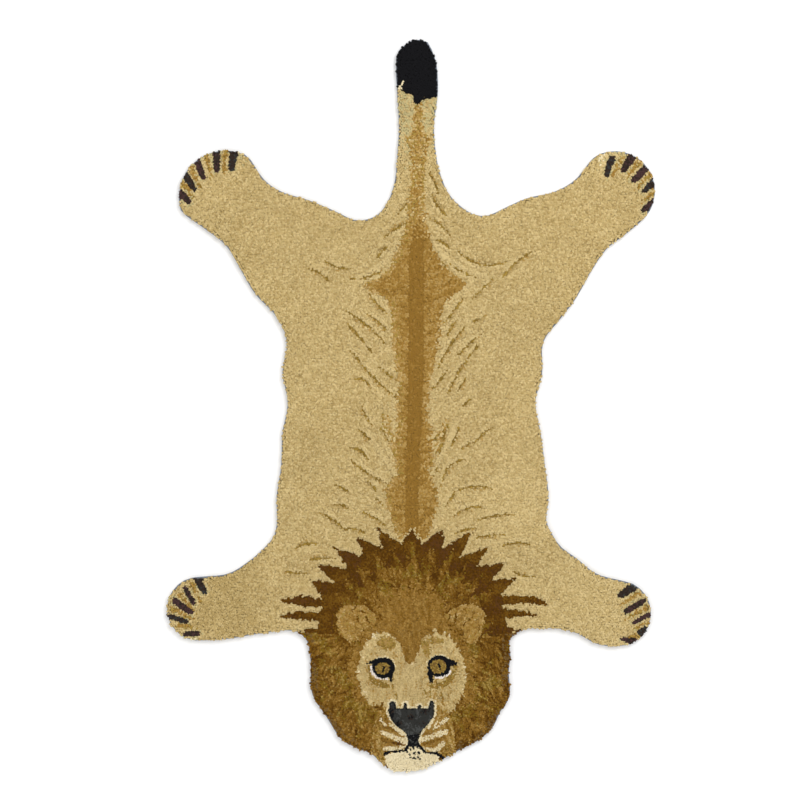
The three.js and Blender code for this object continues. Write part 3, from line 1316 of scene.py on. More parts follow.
@dataclass
class Forehead:
    """The smooth brown forehead, its wedge between the brows, and the ears at its sides."""

    brow: Blend = mix(tawny=0.16, umber=0.42, ochre=0.32, gold=0.1)
    ear: Blend = mix(umber=0.06, ochre=0.18, gold=0.36, moss=0.08, honey=0.24, fawn=0.08)
    ear_rim: Blend = mix(gold=0.25, honey=0.6, fawn=0.15)
    ear_line: Blend = mix(bark=0.5, bronze=0.5)
    dome: Round = Round(2, -446, 84, 76)
    dome_soft: float = 22.0
    strand_reach: float = 7.0
    strand_share: float = 0.34
    centre_line: Stroke = Stroke(5, -402, 270, 46, 0, 1.6, 1.6)
    spread: float = 0.006
    stray: float = 0.5
    stray_patch: float = 14.0
    own_lot: float = 0.8
    line_cut: float = 1.6
    rim_chance: float = 0.85
    rim_reach: float = 1.0
    ear_cut: float = 2.0
    ear_cut_width: float = 2.6
    ear_line_chance: float = 0.9
    ear_line_cut: float = 1.0
    ear_line_reach: float = 0.6

    def sew(self, pile: Pile) -> None:
        """Sews the dome, which fades into the ruff tuft by tuft, its centre line, and the ears."""
        fade = smooth_step(self.dome.depth(pile.root), -self.dome_soft, self.dome_soft)
        heading = math.pi / 2.0 - self.spread * pile.root[:, 0]
        heading += self.stray * value_noise(pile.root, self.stray_patch, Draw.BROW_STRAY)
        strand = strands(pile.root, heading, self.strand_reach, Draw.BROW_STRANDS)
        lot = pile.lots(self.own_lot, strand, self.strand_share)
        pile.sew(pile.chance < fade, self.brow, lot)
        pile.cut(self.line_cut * (self.centre_line.depth(pile.close) > 0.0))
        for ear in EARS:
            body = deepest(ear.body, pile.read)
            pile.sew(body > 0.0, self.ear, lot)
            rims = (deepest(ear.rims, pile.read) > 0.0) & (body > -self.rim_reach)
            pile.sew(rims & (pile.chance < self.rim_chance), self.ear_rim)
            pile.groove(body, self.ear_cut, self.ear_cut_width)
            lines = deepest(ear.lines, pile.close)
            pile.sew((lines > 0.0) & (pile.chance < self.ear_line_chance), self.ear_line)
            pile.cut(self.ear_line_cut * (lines > -self.ear_line_reach))


# The rounds of the light face: both sides from brow to cheek, and the bridge between them
FACE_LEFT = Round(-57, -541, 53, 76)
FACE_RIGHT = Round(60, -547, 52, 84, 5)
FACE_BRIDGE = Round(-1, -583, 56, 57)

# The darker patches in the brows
BROW_SHADES = (
    Round(-50, -486, 20, 15, -10),
    Round(32, -497, 10, 24, 20),
    Round(50, -480, 20, 8, 0),
)
BROW_LIGHTS = (
    Round(-46, -507, 9, 6, 20),
    Round(44, -512, 6, 12, 0),
    Round(68, -505, 9, 6, -20),
)

# The wedge of forehead between the brows and the smooth bridge of the nose
WEDGE = (
    Section(-440, -60, 62),
    Section(-466, -32, 22),
    Section(-479, -22, 15),
    Section(-500, -18, 13),
    Section(-514, -15, 9),
    Section(-522, -12, 4),
    Section(-529, -6, -1),
)
BRIDGE = (
    Section(-531, -4, 1),
    Section(-545, -26, 26),
    Section(-585, -34, 32),
    Section(-612, -40, 38),
)

# The creases of the face: under the eyes, down the nose's sides and round the muzzle
EYE_CREASES = (
    Stroke(-86, -532, 275, 26, 4, 2.0, 3.0),
    Stroke(-82, -558, 324, 42, 22, 4.0, 3.6, 2.6),
    Stroke(91, -532, 268, 74, -98, 3.4, 3.4, 2.6),
)
FACE_CREASES = (
    Stroke(-33, -586, 290, 19, 0, 1.5, 1.5),
    Stroke(61, -588, 284, 27, 0, 1.9, 1.6),
    Stroke(26, -578, 291, 19, 0, 1.6, 1.6),
    Stroke(39, -576, 275, 24, 0, 1.5, 1.5),
    Stroke(-38, -566, 280, 14, 0, 1.6, 1.4),
    Stroke(52, -576, 272, 18, 0, 1.5, 1.5),
)
MUZZLE_SEAMS = (
    Stroke(-58, -608, 252, 58, 16, 2.2, 2.6),
    Stroke(88, -646, 272, 52, 0, 2.6, 3.6, 0.6),
)


@dataclass
class Mask:
    """The light face: both sides from brow to cheek and the bridge of the nose, fringed into the mane."""

    light: Blend = mix(gold=0.02, honey=0.08, fawn=0.16, wheat=0.18, sand=0.28, straw=0.28)
    rim: Blend = mix(fawn=0.1, sand=0.25, buff=0.3, straw=0.3, cream=0.05)
    shade: Blend = mix(olive=0.2, ochre=0.1, moss=0.35, honey=0.35)
    hollow: Blend = mix(olive=0.55, ochre=0.2, moss=0.25)
    surround: Blend = mix(tawny=0.12, umber=0.36, ochre=0.32, gold=0.2)
    seam: Blend = mix(bark=0.3, bronze=0.4, tawny=0.3)
    wedge: Blend = mix(tawny=0.1, umber=0.4, ochre=0.36, gold=0.14)
    bridge: Blend = mix(honey=0.02, fawn=0.04, wheat=0.1, sand=0.22, buff=0.3, straw=0.32)
    fringe: float = 3.6
    surround_width: float = 24.0
    rim_width: float = 12.0
    rim_end: float = -596.0
    strand_reach: float = 5.0
    strand_share: float = 0.3
    middle: float = 1.0
    half_bridge: float = 26.0
    surround_from: float = -640.0
    surround_full: float = -590.0
    surround_near: float = 0.4
    surround_chance: float = 0.85
    own_lot: float = 0.75
    rim_fade: float = 0.6
    face_cut: float = 1.6
    face_cut_width: float = 2.6
    shade_soft: float = 8.0
    shade_chance: float = 0.45
    light_chance: float = 0.75
    eye_crease_chance: float = 0.9
    crease_chance: float = 0.8
    seam_chance: float = 0.85

    def depth(self, points: np.ndarray, strand: np.ndarray) -> np.ndarray:
        """How deep each point lies in the face: its greatest depth in three rounds, plus the strands' noise."""
        return deepest((FACE_LEFT, FACE_RIGHT, FACE_BRIDGE), points) + self.fringe * strand

    def heading(self, points: np.ndarray) -> np.ndarray:
        """Which way the face's strands run: out from the middle of the nearer side, and down the bridge."""
        side = np.where(points[:, 0] > self.middle, FACE_RIGHT.x, FACE_LEFT.x)
        out = np.arctan2(points[:, 1] - FACE_LEFT.y, points[:, 0] - side)
        return np.where(np.abs(points[:, 0]) < self.half_bridge, -math.pi / 2.0, out)

    def sew(self, pile: Pile) -> None:
        """Sews the brown surround, the face, its light rim, wedge, brows, bridge and creases, in that order."""
        strand = strands(pile.root, self.heading(pile.root), self.strand_reach, Draw.FACE_STRANDS)
        place, face = pile.close, self.depth(pile.close, strand)
        upper = smooth_step(pile.root[:, 1], self.surround_from, self.surround_full)
        ring = smooth_step(face, -self.surround_width, -self.surround_width * self.surround_near) * upper
        outside_ears = deepest(tuple(part for ear in EARS for part in ear.body), place) < 0.0
        lot = pile.lots(self.own_lot, strand, self.strand_share)
        pile.sew((pile.chance < self.surround_chance * ring) & outside_ears, self.surround, lot)
        pile.sew(face > 0.0, self.light, lot)
        rim = (face > 0.0) & (face < self.rim_width) & (pile.root[:, 1] > self.rim_end)
        pile.sew(rim & (pile.chance < 1.0 - self.rim_fade * face / self.rim_width), self.rim, lot)
        pile.groove(face, self.face_cut, self.face_cut_width)
        notch = between(place, WEDGE)
        pile.sew(notch > 0.0, self.wedge, lot)
        for patch in BROW_SHADES:
            shade = patch.depth(place) / self.shade_soft
            pile.sew((shade > 0.0) & (pile.chance < self.shade_chance + shade), self.shade, lot)
        pile.sew((deepest(BROW_LIGHTS, place) > 0.0) & (pile.chance < self.light_chance), self.rim)
        bridge = between(place, BRIDGE)
        pile.sew(bridge > 0.0, self.bridge, lot)
        for creases, chance, blend in (
            (EYE_CREASES, self.eye_crease_chance, self.hollow),
            (FACE_CREASES, self.crease_chance, self.hollow),
            (MUZZLE_SEAMS, self.seam_chance, self.seam),
        ):
            pile.sew((deepest(creases, place) > 0.0) & (pile.chance < chance), blend)


@dataclass(frozen=True)
class Eye:
    """One eye: outline, iris, outer corner, inner drop, pupil, and where its pale lid shows, in degrees."""

    centre: tuple[float, float]
    radii: tuple[float, float]
    iris_centre: tuple[float, float]
    iris_radii: tuple[float, float]
    corner: Stroke
    drop: Stroke
    pupil: Stroke
    lid_from: float
    lid_to: float


EYES = (
    Eye(
        centre=(-56.2, -536.0),
        radii=(23.4, 21.6),
        iris_centre=(-58.6, -537.4),
        iris_radii=(14.8, 12.0),
        corner=Stroke(-62, -521, 191, 27, 4, 6.2, 1.6, 0.8),
        drop=Stroke(-42, -545, 272, 20, 0, 6.6, 2.2),
        pupil=Stroke(-55.6, -534, 262, 9, 0, 2.2, 2.4),
        lid_from=166.0,
        lid_to=290.0,
    ),
    Eye(
        centre=(57.4, -532.6),
        radii=(23.8, 22.2),
        iris_centre=(55.8, -533.4),
        iris_radii=(16.4, 14.6),
        corner=Stroke(72, -523, 348, 20, 0, 7.4, 4.4),
        drop=Stroke(40, -548, 276, 16, 0, 6.4, 3.6),
        pupil=Stroke(56, -528, 292, 11, 0, 1.6, 1.6),
        lid_from=248.0,
        lid_to=338.0,
    ),
)


@dataclass
class Eyes:
    """The eyes: gold-brown irises in thick dark rims, with a pale lower lid."""

    iris: Blend = mix(olive=0.34, dusk=0.26, moss=0.4)
    light: Blend = mix(straw=0.6, cream=0.4)
    lid_width: float = 0.15
    brow_light: float = 0.13
    eye_cut: float = 0.8
    calm: float = 0.5

    def sew(self, pile: Pile) -> None:
        """Sews each eye outside in: light above, pale lid, dark outline with its two corners, iris and pupil.

        The lid is the part of a ring round the outline whose bearing lies between its two angles.
        """
        place = pile.root
        for eye in EYES:
            outline = ellipse(place, eye.centre, eye.radii)
            bearing = np.degrees(np.arctan2(place[:, 1] - eye.centre[1], place[:, 0] - eye.centre[0])) % 360.0
            ring = (outline > -self.lid_width) & (outline <= 0.0)
            pile.sew(ring & (bearing < 180.0) & (outline > -self.brow_light), self.light)
            pile.sew(ring & (bearing > eye.lid_from) & (bearing < eye.lid_to), mix(chalk=1.0))
            dark = (outline > 0.0) | (eye.corner.depth(place) > 0.0) | (eye.drop.depth(place) > 0.0)
            pile.sew(dark, mix(black=1.0))
            iris = ellipse(place, eye.iris_centre, eye.iris_radii)
            pile.sew(iris > 0.0, self.iris)
            pile.sew(eye.pupil.depth(place) > 0.0, mix(black=1.0))
            pile.cut(self.eye_cut * (dark & (iris < 0.0)))
            pile.calm[dark | ring] = self.calm


# Whisker stripes, from the cheek inwards
WHISKERS = (
    Stroke(-62, -642, 308, 17, 0, 3.0, 2.4),
    Stroke(-44, -652, 326, 34, 0, 2.6, 4.4),
    Stroke(-59, -668, 337, 47, 0, 4.2, 5.4),
    Stroke(-54, -702, 4, 38, 0, 4.0, 4.8),
    Stroke(72, -641, 218, 16, 0, 4.2, 3.4),
    Stroke(54, -645, 244, 17, 0, 2.0, 1.8),
    Stroke(46, -643, 236, 20, 0, 2.0, 2.0),
    Stroke(37, -646, 232, 18, 0, 2.0, 2.0),
    Stroke(61, -652, 214, 12, 0, 2.0, 1.8),
    Stroke(71, -667, 197, 52, 4, 5.6, 4.8),
    Stroke(66, -690, 228, 22, -10, 4.6, 5.0),
    Stroke(51, -706, 168, 26, 0, 3.4, 3.4),
)
WHISKER_BARS = (
    Stroke(-56, -655, 338, 36, 0, 3.4, 3.0),
    Stroke(-58, -684, 348, 42, 0, 4.0, 4.0),
    Stroke(62, -680, 200, 34, 0, 2.6, 3.0),
)
LIP_SPOT = Stroke(-35, -690, 350, 14, 0, 3.2, 2.6)
NOSE_HORNS = (
    Stroke(-37.5, -622, 92, 11, 0, 7.2, 6.4),
    Stroke(-11.5, -622, 90, 12, 0, 4.4, 3.0),
    Stroke(17, -622, 90, 6, 0, 5.0, 4.0),
    Stroke(41, -622, 82, 14, 0, 6.0, 4.6),
)
NOSE = (
    Section(-619, -46, 47),
    Section(-626, -46, 48),
    Section(-637, -43, 45),
    Section(-649, -36, 38),
    Section(-657, -27, 31),
    Section(-665, -16, 22),
    Section(-673, -9, 18),
    Section(-686, -6, 15.5),
    Section(-698, -8, 15),
)


@dataclass(frozen=True)
class Dot:
    """One round dot: its centre and half its width."""

    x: float
    y: float
    size: float


LIP_DOTS = (
    Dot(-2, -703, 2.4),
    Dot(6, -701, 2.2),
    Dot(13, -700, 1.9),
    Dot(-8, -708, 3.0),
    Dot(7, -711, 2.7),
    Dot(16, -709, 2.7),
    Dot(-3, -714, 2.3),
    Dot(-1, -720, 1.8),
    Dot(6, -721, 2.8),
    Dot(14, -718, 2.0),
    Dot(19, -723, 2.3),
)


@dataclass
class Muzzle:
    """The muzzle: whisker stripes, the dark nose with its groove to the lip, the mouth and the pale chin."""

    pad: Blend = mix(umber=0.2, ochre=0.3, gold=0.28, moss=0.14, honey=0.08)
    bar: Blend = mix(bronze=0.06, tawny=0.34, umber=0.6)
    side: Blend = mix(tawny=0.08, ochre=0.24, gold=0.26, moss=0.18, honey=0.16, fawn=0.08)
    hatch: float = 1.9
    stripe: Blend = mix(straw=0.2, cream=0.65, ivory=0.15)
    nose: Blend = mix(black=0.16, soot=0.1, charcoal=0.5, slate=0.24)
    nose_patch: float = 13.0
    chin: Blend = mix(cream=0.6, ivory=0.4)
    spot: Blend = mix(bronze=0.5, cocoa=0.5)
    flanks: tuple[Round, ...] = (Round(-52, -674, 28, 64, -10), Round(62, -676, 28, 64, 8))
    pads: tuple[Round, ...] = (Round(-32, -673, 34, 37), Round(40, -673, 38, 37))
    mouths: tuple[Stroke, ...] = (
        Stroke(-5, -695, 232, 12, 0, 2.8, 3.0),
        Stroke(-12, -706, 182, 35, 0, 2.6, 1.5),
        Stroke(-45, -707, 206, 11, 20, 2.4, 3.6),
        Stroke(14, -693, 314, 21, 0, 2.8, 2.2),
        Stroke(28, -708, 352, 24, 0, 1.7, 2.4),
        Stroke(51, -711, 340, 17, -22, 3.0, 3.2),
    )
    edge_width: float = 4.6
    black_rim: float = 3.0
    black_below: float = -672.0
    chin_top: float = -706.0
    bowl: Round = Round(2, -708, 58, 52)
    cleft: Round = Round(6, -704, 17, 13)
    hatch_reach: float = 5.0
    hatch_share: float = 0.4
    own_lot: float = 0.8
    side_chance: float = 0.85
    stripe_chance: float = 0.92
    chin_drop: float = 10.0
    chin_calm: float = 0.3
    edge_to: float = -702.0
    nose_patch_share: float = 0.5
    nose_own: float = 0.4
    black_chance: float = 0.8
    nose_cut: float = 1.8
    nose_cut_width: float = 2.4
    nose_calm: float = 0.6

    def sew(self, pile: Pile) -> None:
        """Sews the muzzle's sides and pads, whisker stripes, chin, nose, mouth and lip dots, in that order."""
        place = pile.close
        hatch = strands(pile.root, np.full(len(pile.root), self.hatch), self.hatch_reach, Draw.MUZZLE_STRANDS)
        lot = pile.lots(self.own_lot, hatch, self.hatch_share)
        pile.sew((deepest(self.flanks, place) > 0.0) & (pile.chance < self.side_chance), self.side, lot)
        pile.sew(deepest(self.pads, place) > 0.0, self.pad, lot)
        pile.sew(deepest(WHISKER_BARS, place) > 0.0, self.bar)
        pile.sew((deepest(WHISKERS, place) > 0.0) & (pile.chance < self.stripe_chance), self.stripe)
        pile.sew(LIP_SPOT.depth(place) > 0.0, self.spot)
        off = np.abs(pile.root[:, 0] - self.bowl.x) / self.bowl.across
        below = pile.root[:, 1] < self.chin_top - self.chin_drop * off**2
        chin = (below & (self.bowl.depth(place) > 0.0)) | (self.cleft.depth(place) > 0.0)
        pile.sew(chin, self.chin)
        pile.calm[chin] = self.chin_calm
        self.sew_nose(pile)
        pile.sew(deepest(self.mouths, pile.root) > 0.0, mix(black=1.0))
        for dot in LIP_DOTS:
            away = np.hypot(pile.root[:, 0] - dot.x, pile.root[:, 1] - dot.y)
            pile.sew(away < dot.size, mix(black=1.0))

    def sew_nose(self, pile: Pile) -> None:
        """Sews the nose between its sections with the points of its upper edge, and a light edge round it."""
        nose = np.maximum(between(pile.root, NOSE), deepest(NOSE_HORNS, pile.root))
        edge = (nose > -self.edge_width) & (nose <= 0.0) & (pile.root[:, 1] > self.edge_to)
        pile.sew(edge, self.stripe)
        patch = value_noise(pile.root, self.nose_patch, Draw.NOSE_PATCH)
        pile.sew(nose > 0.0, self.nose, pile.lots(self.nose_own, patch, self.nose_patch_share))
        black = (nose < self.black_rim) | (pile.root[:, 1] < self.black_below)
        pile.sew((nose > 0.0) & black & (pile.chance < self.black_chance), mix(black=1.0))
        pile.groove(nose, self.nose_cut, self.nose_cut_width)
        pile.calm[nose > 0.0] = self.nose_calm


class Layer(Protocol):
    """One part of the pattern."""

    def sew(self, pile: Pile) -> None:
        """Sews the part onto the tufts."""


@dataclass
class Pattern:
    """The whole pattern, worked from the coat up to the face."""

    layers: tuple[Layer, ...] = field(
        default_factory=lambda: (
            Coat(),
            Fur(),
            Back(),
            TailTip(),
            Claws(),
            Mane(),
            Forehead(),
            Mask(),
            Eyes(),
            Muzzle(),
        )
    )

    def sew(self, pile: Pile) -> None:
        """Sews every layer onto the tufts, each over the last."""
        for layer in self.layers:
            layer.sew(pile)


@dataclass(frozen=True)
class Gauge:
    """How close the tufts stand in one part of the hide."""

    pitch: float
    jitter: float = 0.17

    def roots(self, low: np.ndarray, high: np.ndarray, rng: np.random.Generator) -> np.ndarray:
        """Tuft places on a triangular net over a box: every other row is moved by half a step, and each
        place is shifted by a random share of a step.

        Args:
            low: The box's lowest corner in millimetres.
            high: Its highest corner.
            rng: The random source.

        Returns:
            The places.
        """
        across = np.arange(low[0], high[0], self.pitch)
        along = np.arange(low[1], high[1], self.pitch * math.sqrt(3.0) / 2.0)
        x, y = np.meshgrid(across, along)
        x = x + (np.arange(len(along)) % 2)[:, None] * self.pitch / 2.0
        places = np.stack([x.ravel(), y.ravel()], axis=1)
        return places + rng.uniform(-self.jitter, self.jitter, places.shape) * self.pitch


@dataclass
class Tufting:
    """Where the tufts stand: close in the face, a little wider in the mane and widest in the coat."""

    coat: Gauge = Gauge(3.95)
    mane: Gauge = Gauge(3.1)
    face: Gauge = Gauge(2.5)
    edge_margin: float = 2.8
    face_centre: tuple[float, float] = (2.0, -600.0)
    face_radii: tuple[float, float] = (104.0, 142.0)
    crest_reach: float = 232.0
    crest_angle: float = 90.0

    def zones(self, points: np.ndarray) -> np.ndarray:
        """0 for the coat, 1 for the mane and 2 for the face."""
        mane = Mane()
        radius, angle = mane.polar(points)
        neck = (points[:, 1] < mane.neck_along) & (np.abs(points[:, 0]) < mane.neck_out)
        crest = (radius < self.crest_reach) & (np.abs(angle) < self.crest_angle)
        face = ellipse(points, self.face_centre, self.face_radii) > 0.0
        return np.where(face, 2, np.where(neck | crest, 1, 0))

    def pile(self, outline: Outline) -> Pile:
        """Stands the tufts on the hide, inside its edge by the margin.

        Args:
            outline: The hide's edge.

        Returns:
            The tufts, with no yarn yet.
        """
        rng = source_of(Draw.ROOTS)
        low, high = outline.loop.min(axis=0), outline.loop.max(axis=0)
        roots, pitches = [], []
        for zone, gauge in enumerate((self.coat, self.mane, self.face)):
            places = gauge.roots(low, high, rng)
            places = places[self.zones(places) == zone]
            roots.append(places)
            pitches.append(np.full(len(places), gauge.pitch))
        root, pitch = np.concatenate(roots), np.concatenate(pitches)
        depth, way_out = outline.depth(root)
        kept = depth > self.edge_margin
        return Pile(root[kept], pitch[kept], depth[kept], way_out[kept], Draw.TUFTS)


@dataclass
class Tufts:
    """The cut tufts of one yarn as a joined mesh: each a four-sided stem that swells to a domed, frayed tip."""

    pile: Pile
    sides: int = 4
    root_width: float = 0.54
    tip_width: float = 0.76
    crown: float = 0.95
    fray: float = 0.14
    tip_fray: float = 0.2
    height_spread: float = 0.24
    lean: float = 0.5
    edge_zone: float = 9.0
    edge_lean: float = 1.7
    edge_patch: float = 60.0
    edge_ease: float = 0.2
    edge_noise: float = 0.8
    edge_drop: float = 1.4
    ease_most: float = 3.0
    spread_most: float = 0.7
    foot_rise: float = 0.2
    foot_sunk: float = 1.2
    longest: float = 1.35
    twist: float = 0.5
    crown_stray: float = 0.12
    crown_lean: float = 1.15
    shoulder_height: float = 0.75
    cell_middle: tuple[float, float] = (0.42, 0.58)
    foot_ring: float = 0.41
    shoulder_ring: float = 0.26
    under_middle: tuple[float, float] = (0.9, 0.1)
    under_ring: float = 0.08
    nap: tuple[float, float] = (0.0, -0.3)

    def points(self, chosen: np.ndarray, rng: np.random.Generator) -> np.ndarray:
        """Every tuft's corners: a ring at its foot, a wider turned one at its shoulder and its crown's point.

        A ring's corner k is at radius times the cosine and sine of its angle, stretched along the tuft's own
        grain. The shoulder and crown are moved sideways by the lean, which points outwards near the hide's edge.

        Args:
            chosen: The numbers of the tufts.
            rng: The random source.

        Returns:
            Corners in metres, with axes of tuft, corner and coordinate.
        """
        pile, count = self.pile, len(chosen)
        pitch, carve, depth = pile.pitch[chosen], pile.carve[chosen], pile.depth[chosen]
        edge = np.clip(1.0 - depth / self.edge_zone, 0.0, 1.0)
        spread = rng.normal(0.0, self.height_spread, count).clip(-self.spread_most, self.spread_most)
        top = PILE_TOP - carve + spread * pile.calm[chosen] - self.edge_drop * edge**2
        foot = np.where(edge > 0.0, PILE_FOOT + self.foot_rise, STEM_TOP - self.foot_sunk - carve)
        lean = rng.normal(0.0, self.lean, (count, 2)) + np.array(self.nap)
        patch = value_noise(pile.root[chosen], self.edge_patch, Draw.EDGE_FLARE)
        ease = self.edge_ease + pile.flare[chosen] + self.edge_noise * patch
        lean = lean + pile.way_out[chosen] * (self.edge_lean * edge * ease.clip(0.0, self.ease_most))[:, None]
        turn = rng.uniform(0.0, 2.0 * np.pi, (count, 1)) + np.arange(self.sides) * 2.0 * np.pi / self.sides
        grain = rng.uniform(0.0, np.pi, (count, 1))
        stretch = rng.uniform(1.0, self.longest, (count, 1))
        corners = np.empty((count, 2 * self.sides + 1, 3))
        rings = ((self.root_width, foot), (self.tip_width, top - self.crown))
        for ring, (width, height) in enumerate(rings):
            rough = 1.0 + self.fray * rng.uniform(-1.0, 1.0, (count, self.sides)) * ring
            radius = pitch[:, None] * width * rough
            angle = turn + self.twist * ring
            first = np.cos(angle - grain) * radius * stretch
            second = np.sin(angle - grain) * radius / np.sqrt(stretch)
            part = slice(ring * self.sides, (ring + 1) * self.sides)
            corners[:, part, 0] = first * np.cos(grain) - second * np.sin(grain) + lean[:, :1] * ring
            corners[:, part, 1] = first * np.sin(grain) + second * np.cos(grain) + lean[:, 1:] * ring
            corners[:, part, 2] = height[:, None] + rng.normal(0.0, self.tip_fray, (count, self.sides)) * ring
        crown_shift = rng.normal(0.0, self.crown_stray, (count, 2)) * pitch[:, None]
        corners[:, -1, :2] = lean * self.crown_lean + crown_shift
        corners[:, -1, 2] = top
        corners[:, :, :2] += pile.root[chosen][:, None, :]
        return corners * MM

    def faces(self, count: int) -> tuple[np.ndarray, np.ndarray]:
        """The corner numbers of every face, and each face's size.

        Each tuft has one four-sided face a side from foot to shoulder, one triangle a side up to the crown and
        one foot face, all pointing out.

        Args:
            count: The number of tufts.

        Returns:
            Corner numbers end to end, and the faces' sizes.
        """
        k = np.arange(self.sides)
        after = (k + 1) % self.sides
        sides = np.stack([k, after, after + self.sides, k + self.sides], axis=1).ravel()
        point = np.full(self.sides, 2 * self.sides)
        crown = np.stack([k + self.sides, after + self.sides, point], axis=1).ravel()
        one = np.concatenate([sides, crown, k[::-1]])
        stride = 2 * self.sides + 1
        loops = (one[None] + np.arange(count)[:, None] * stride).ravel()
        sizes = np.tile(np.concatenate([np.full(self.sides, 4), np.full(self.sides, 3), [self.sides]]), count)
        return loops, sizes

    def yarn_map(self, count: int) -> np.ndarray:
        """The strand map: across it once round the tuft, and up it from foot to crown."""
        k = np.arange(self.sides) / self.sides
        step = 1.0 / self.sides
        zero, shoulder = np.zeros(self.sides), np.full(self.sides, self.shoulder_height)
        sides = np.stack([k, zero, k + step, zero, k + step, shoulder, k, shoulder], axis=1).ravel()
        crown = np.stack([k, shoulder, k + step, shoulder, k + step / 2.0, zero + 1.0], axis=1).ravel()
        foot = np.stack([k[::-1], zero], axis=1).ravel()
        return np.tile(np.concatenate([sides, crown, foot]), count)

    def bake_map(self, count: int) -> np.ndarray:
        """The flat map: each tuft has its own square cell, seen from above, crown in the middle of shoulder and
        foot rings, with the foot face small in the cell's corner."""
        angle = np.arange(self.sides) * 2.0 * np.pi / self.sides
        ring = np.stack([np.cos(angle), np.sin(angle)], axis=1)
        middle = np.array(self.cell_middle)
        foot, shoulder = middle + self.foot_ring * ring, middle + self.shoulder_ring * ring
        after = np.roll(np.arange(self.sides), -1)
        sides = np.stack([foot, foot[after], shoulder[after], shoulder], axis=1).reshape(-1, 2)
        crown = np.stack([shoulder, shoulder[after], np.tile(middle, (self.sides, 1))], axis=1).reshape(-1, 2)
        under = (np.array(self.under_middle) + self.under_ring * ring)[::-1]
        one = np.concatenate([sides, crown, under])
        columns = math.ceil(math.sqrt(count))
        cell = np.stack([np.arange(count) % columns, np.arange(count) // columns], axis=1)
        return ((one[None] + cell[:, None, :]) / columns).ravel()

    def build(self, name: str, yarn: Yarn, material: bpy.types.Material) -> bpy.types.Object:
        """Makes the piece that holds every tuft of one yarn.

        Args:
            name: The piece's name.
            yarn: The yarn.
            material: Its finish.

        Returns:
            The new object.
        """
        chosen = np.flatnonzero(self.pile.yarn == yarn_index(yarn))
        rng = source_of(Draw.YARN, yarn_index(yarn))
        corners = self.points(chosen, rng)
        loops, sizes = self.faces(len(chosen))
        mesh = bpy.data.meshes.new(name)
        mesh.vertices.add(corners.shape[0] * corners.shape[1])
        mesh.vertices.foreach_set("co", corners.astype(np.float32).ravel())
        mesh.loops.add(len(loops))
        mesh.loops.foreach_set("vertex_index", loops.astype(np.int32))
        mesh.polygons.add(len(sizes))
        starts = np.concatenate([[0], np.cumsum(sizes)[:-1]])
        mesh.polygons.foreach_set("loop_start", starts.astype(np.int32))
        mesh.polygons.foreach_set("use_smooth", np.ones(len(sizes), bool))
        mesh.update(calc_edges=True)
        mesh.uv_layers.new(name="strand").data.foreach_set("uv", self.yarn_map(len(chosen)).astype(np.float32))
        mesh.uv_layers.new(name="OFBake").data.foreach_set("uv", self.bake_map(len(chosen)).astype(np.float32))
        mesh.uv_layers["strand"].active_render = True
        tone = np.repeat(self.pile.tone[chosen] * self.pile.calm[chosen], corners.shape[1])
        mesh.attributes.new("tone", "FLOAT", "POINT").data.foreach_set("value", tone.astype(np.float32))
        mesh.validate()
        mesh.materials.append(material)
        piece = bpy.data.objects.new(name, mesh)
        bpy.context.scene.collection.objects.link(piece)
        return piece


def closed_sheet(
    name: str,
    rings: list[tuple[np.ndarray, float]],
    inner: np.ndarray,
    inner_height: np.ndarray,
) -> bpy.types.Object:
    """A closed flat sheet: loops stacked from its underside's rim up, one flat face below, and on top either
    one flat face or a net of triangles through inner points.

    Args:
        name: The piece's name.
        rings: Loops of equal length with their heights, in millimetres, lowest first.
        inner: Places inside the last loop that the top face runs through.
        inner_height: Their heights.

    Returns:
        The new object.
    """
    count = len(rings[0][0])
    levels = [np.column_stack([loop, np.full(count, height)]) for loop, height in rings]
    points = np.concatenate([*levels, np.column_stack([inner, inner_height])])
    step = np.arange(count)
    after = np.roll(step, -1)
    walls = [
        np.stack([low + step, low + after, low + count + after, low + count + step], axis=1)
        for low in range(0, count * (len(rings) - 1), count)
    ]
    top = count * (len(rings) - 1)
    faces = np.concatenate(walls).tolist()
    faces.append(step[::-1].tolist())
    if len(inner):
        flat = [Vector(p) for p in points[top:, :2]]
        sides = np.stack([step, after], axis=1).tolist()
        found = delaunay_2d_cdt(flat, sides, [step.tolist()], 1, LEAST_GAP)
        origin = np.array([source[0] for source in found[3]])
        faces += (origin[np.array(found[2])] + top).tolist()
    else:
        faces.append((top + step).tolist())
    mesh = bpy.data.meshes.new(name)
    mesh.from_pydata((points * MM).tolist(), [], faces)
    mesh.validate()
    piece = bpy.data.objects.new(name, mesh)
    bpy.context.scene.collection.objects.link(piece)
    return piece


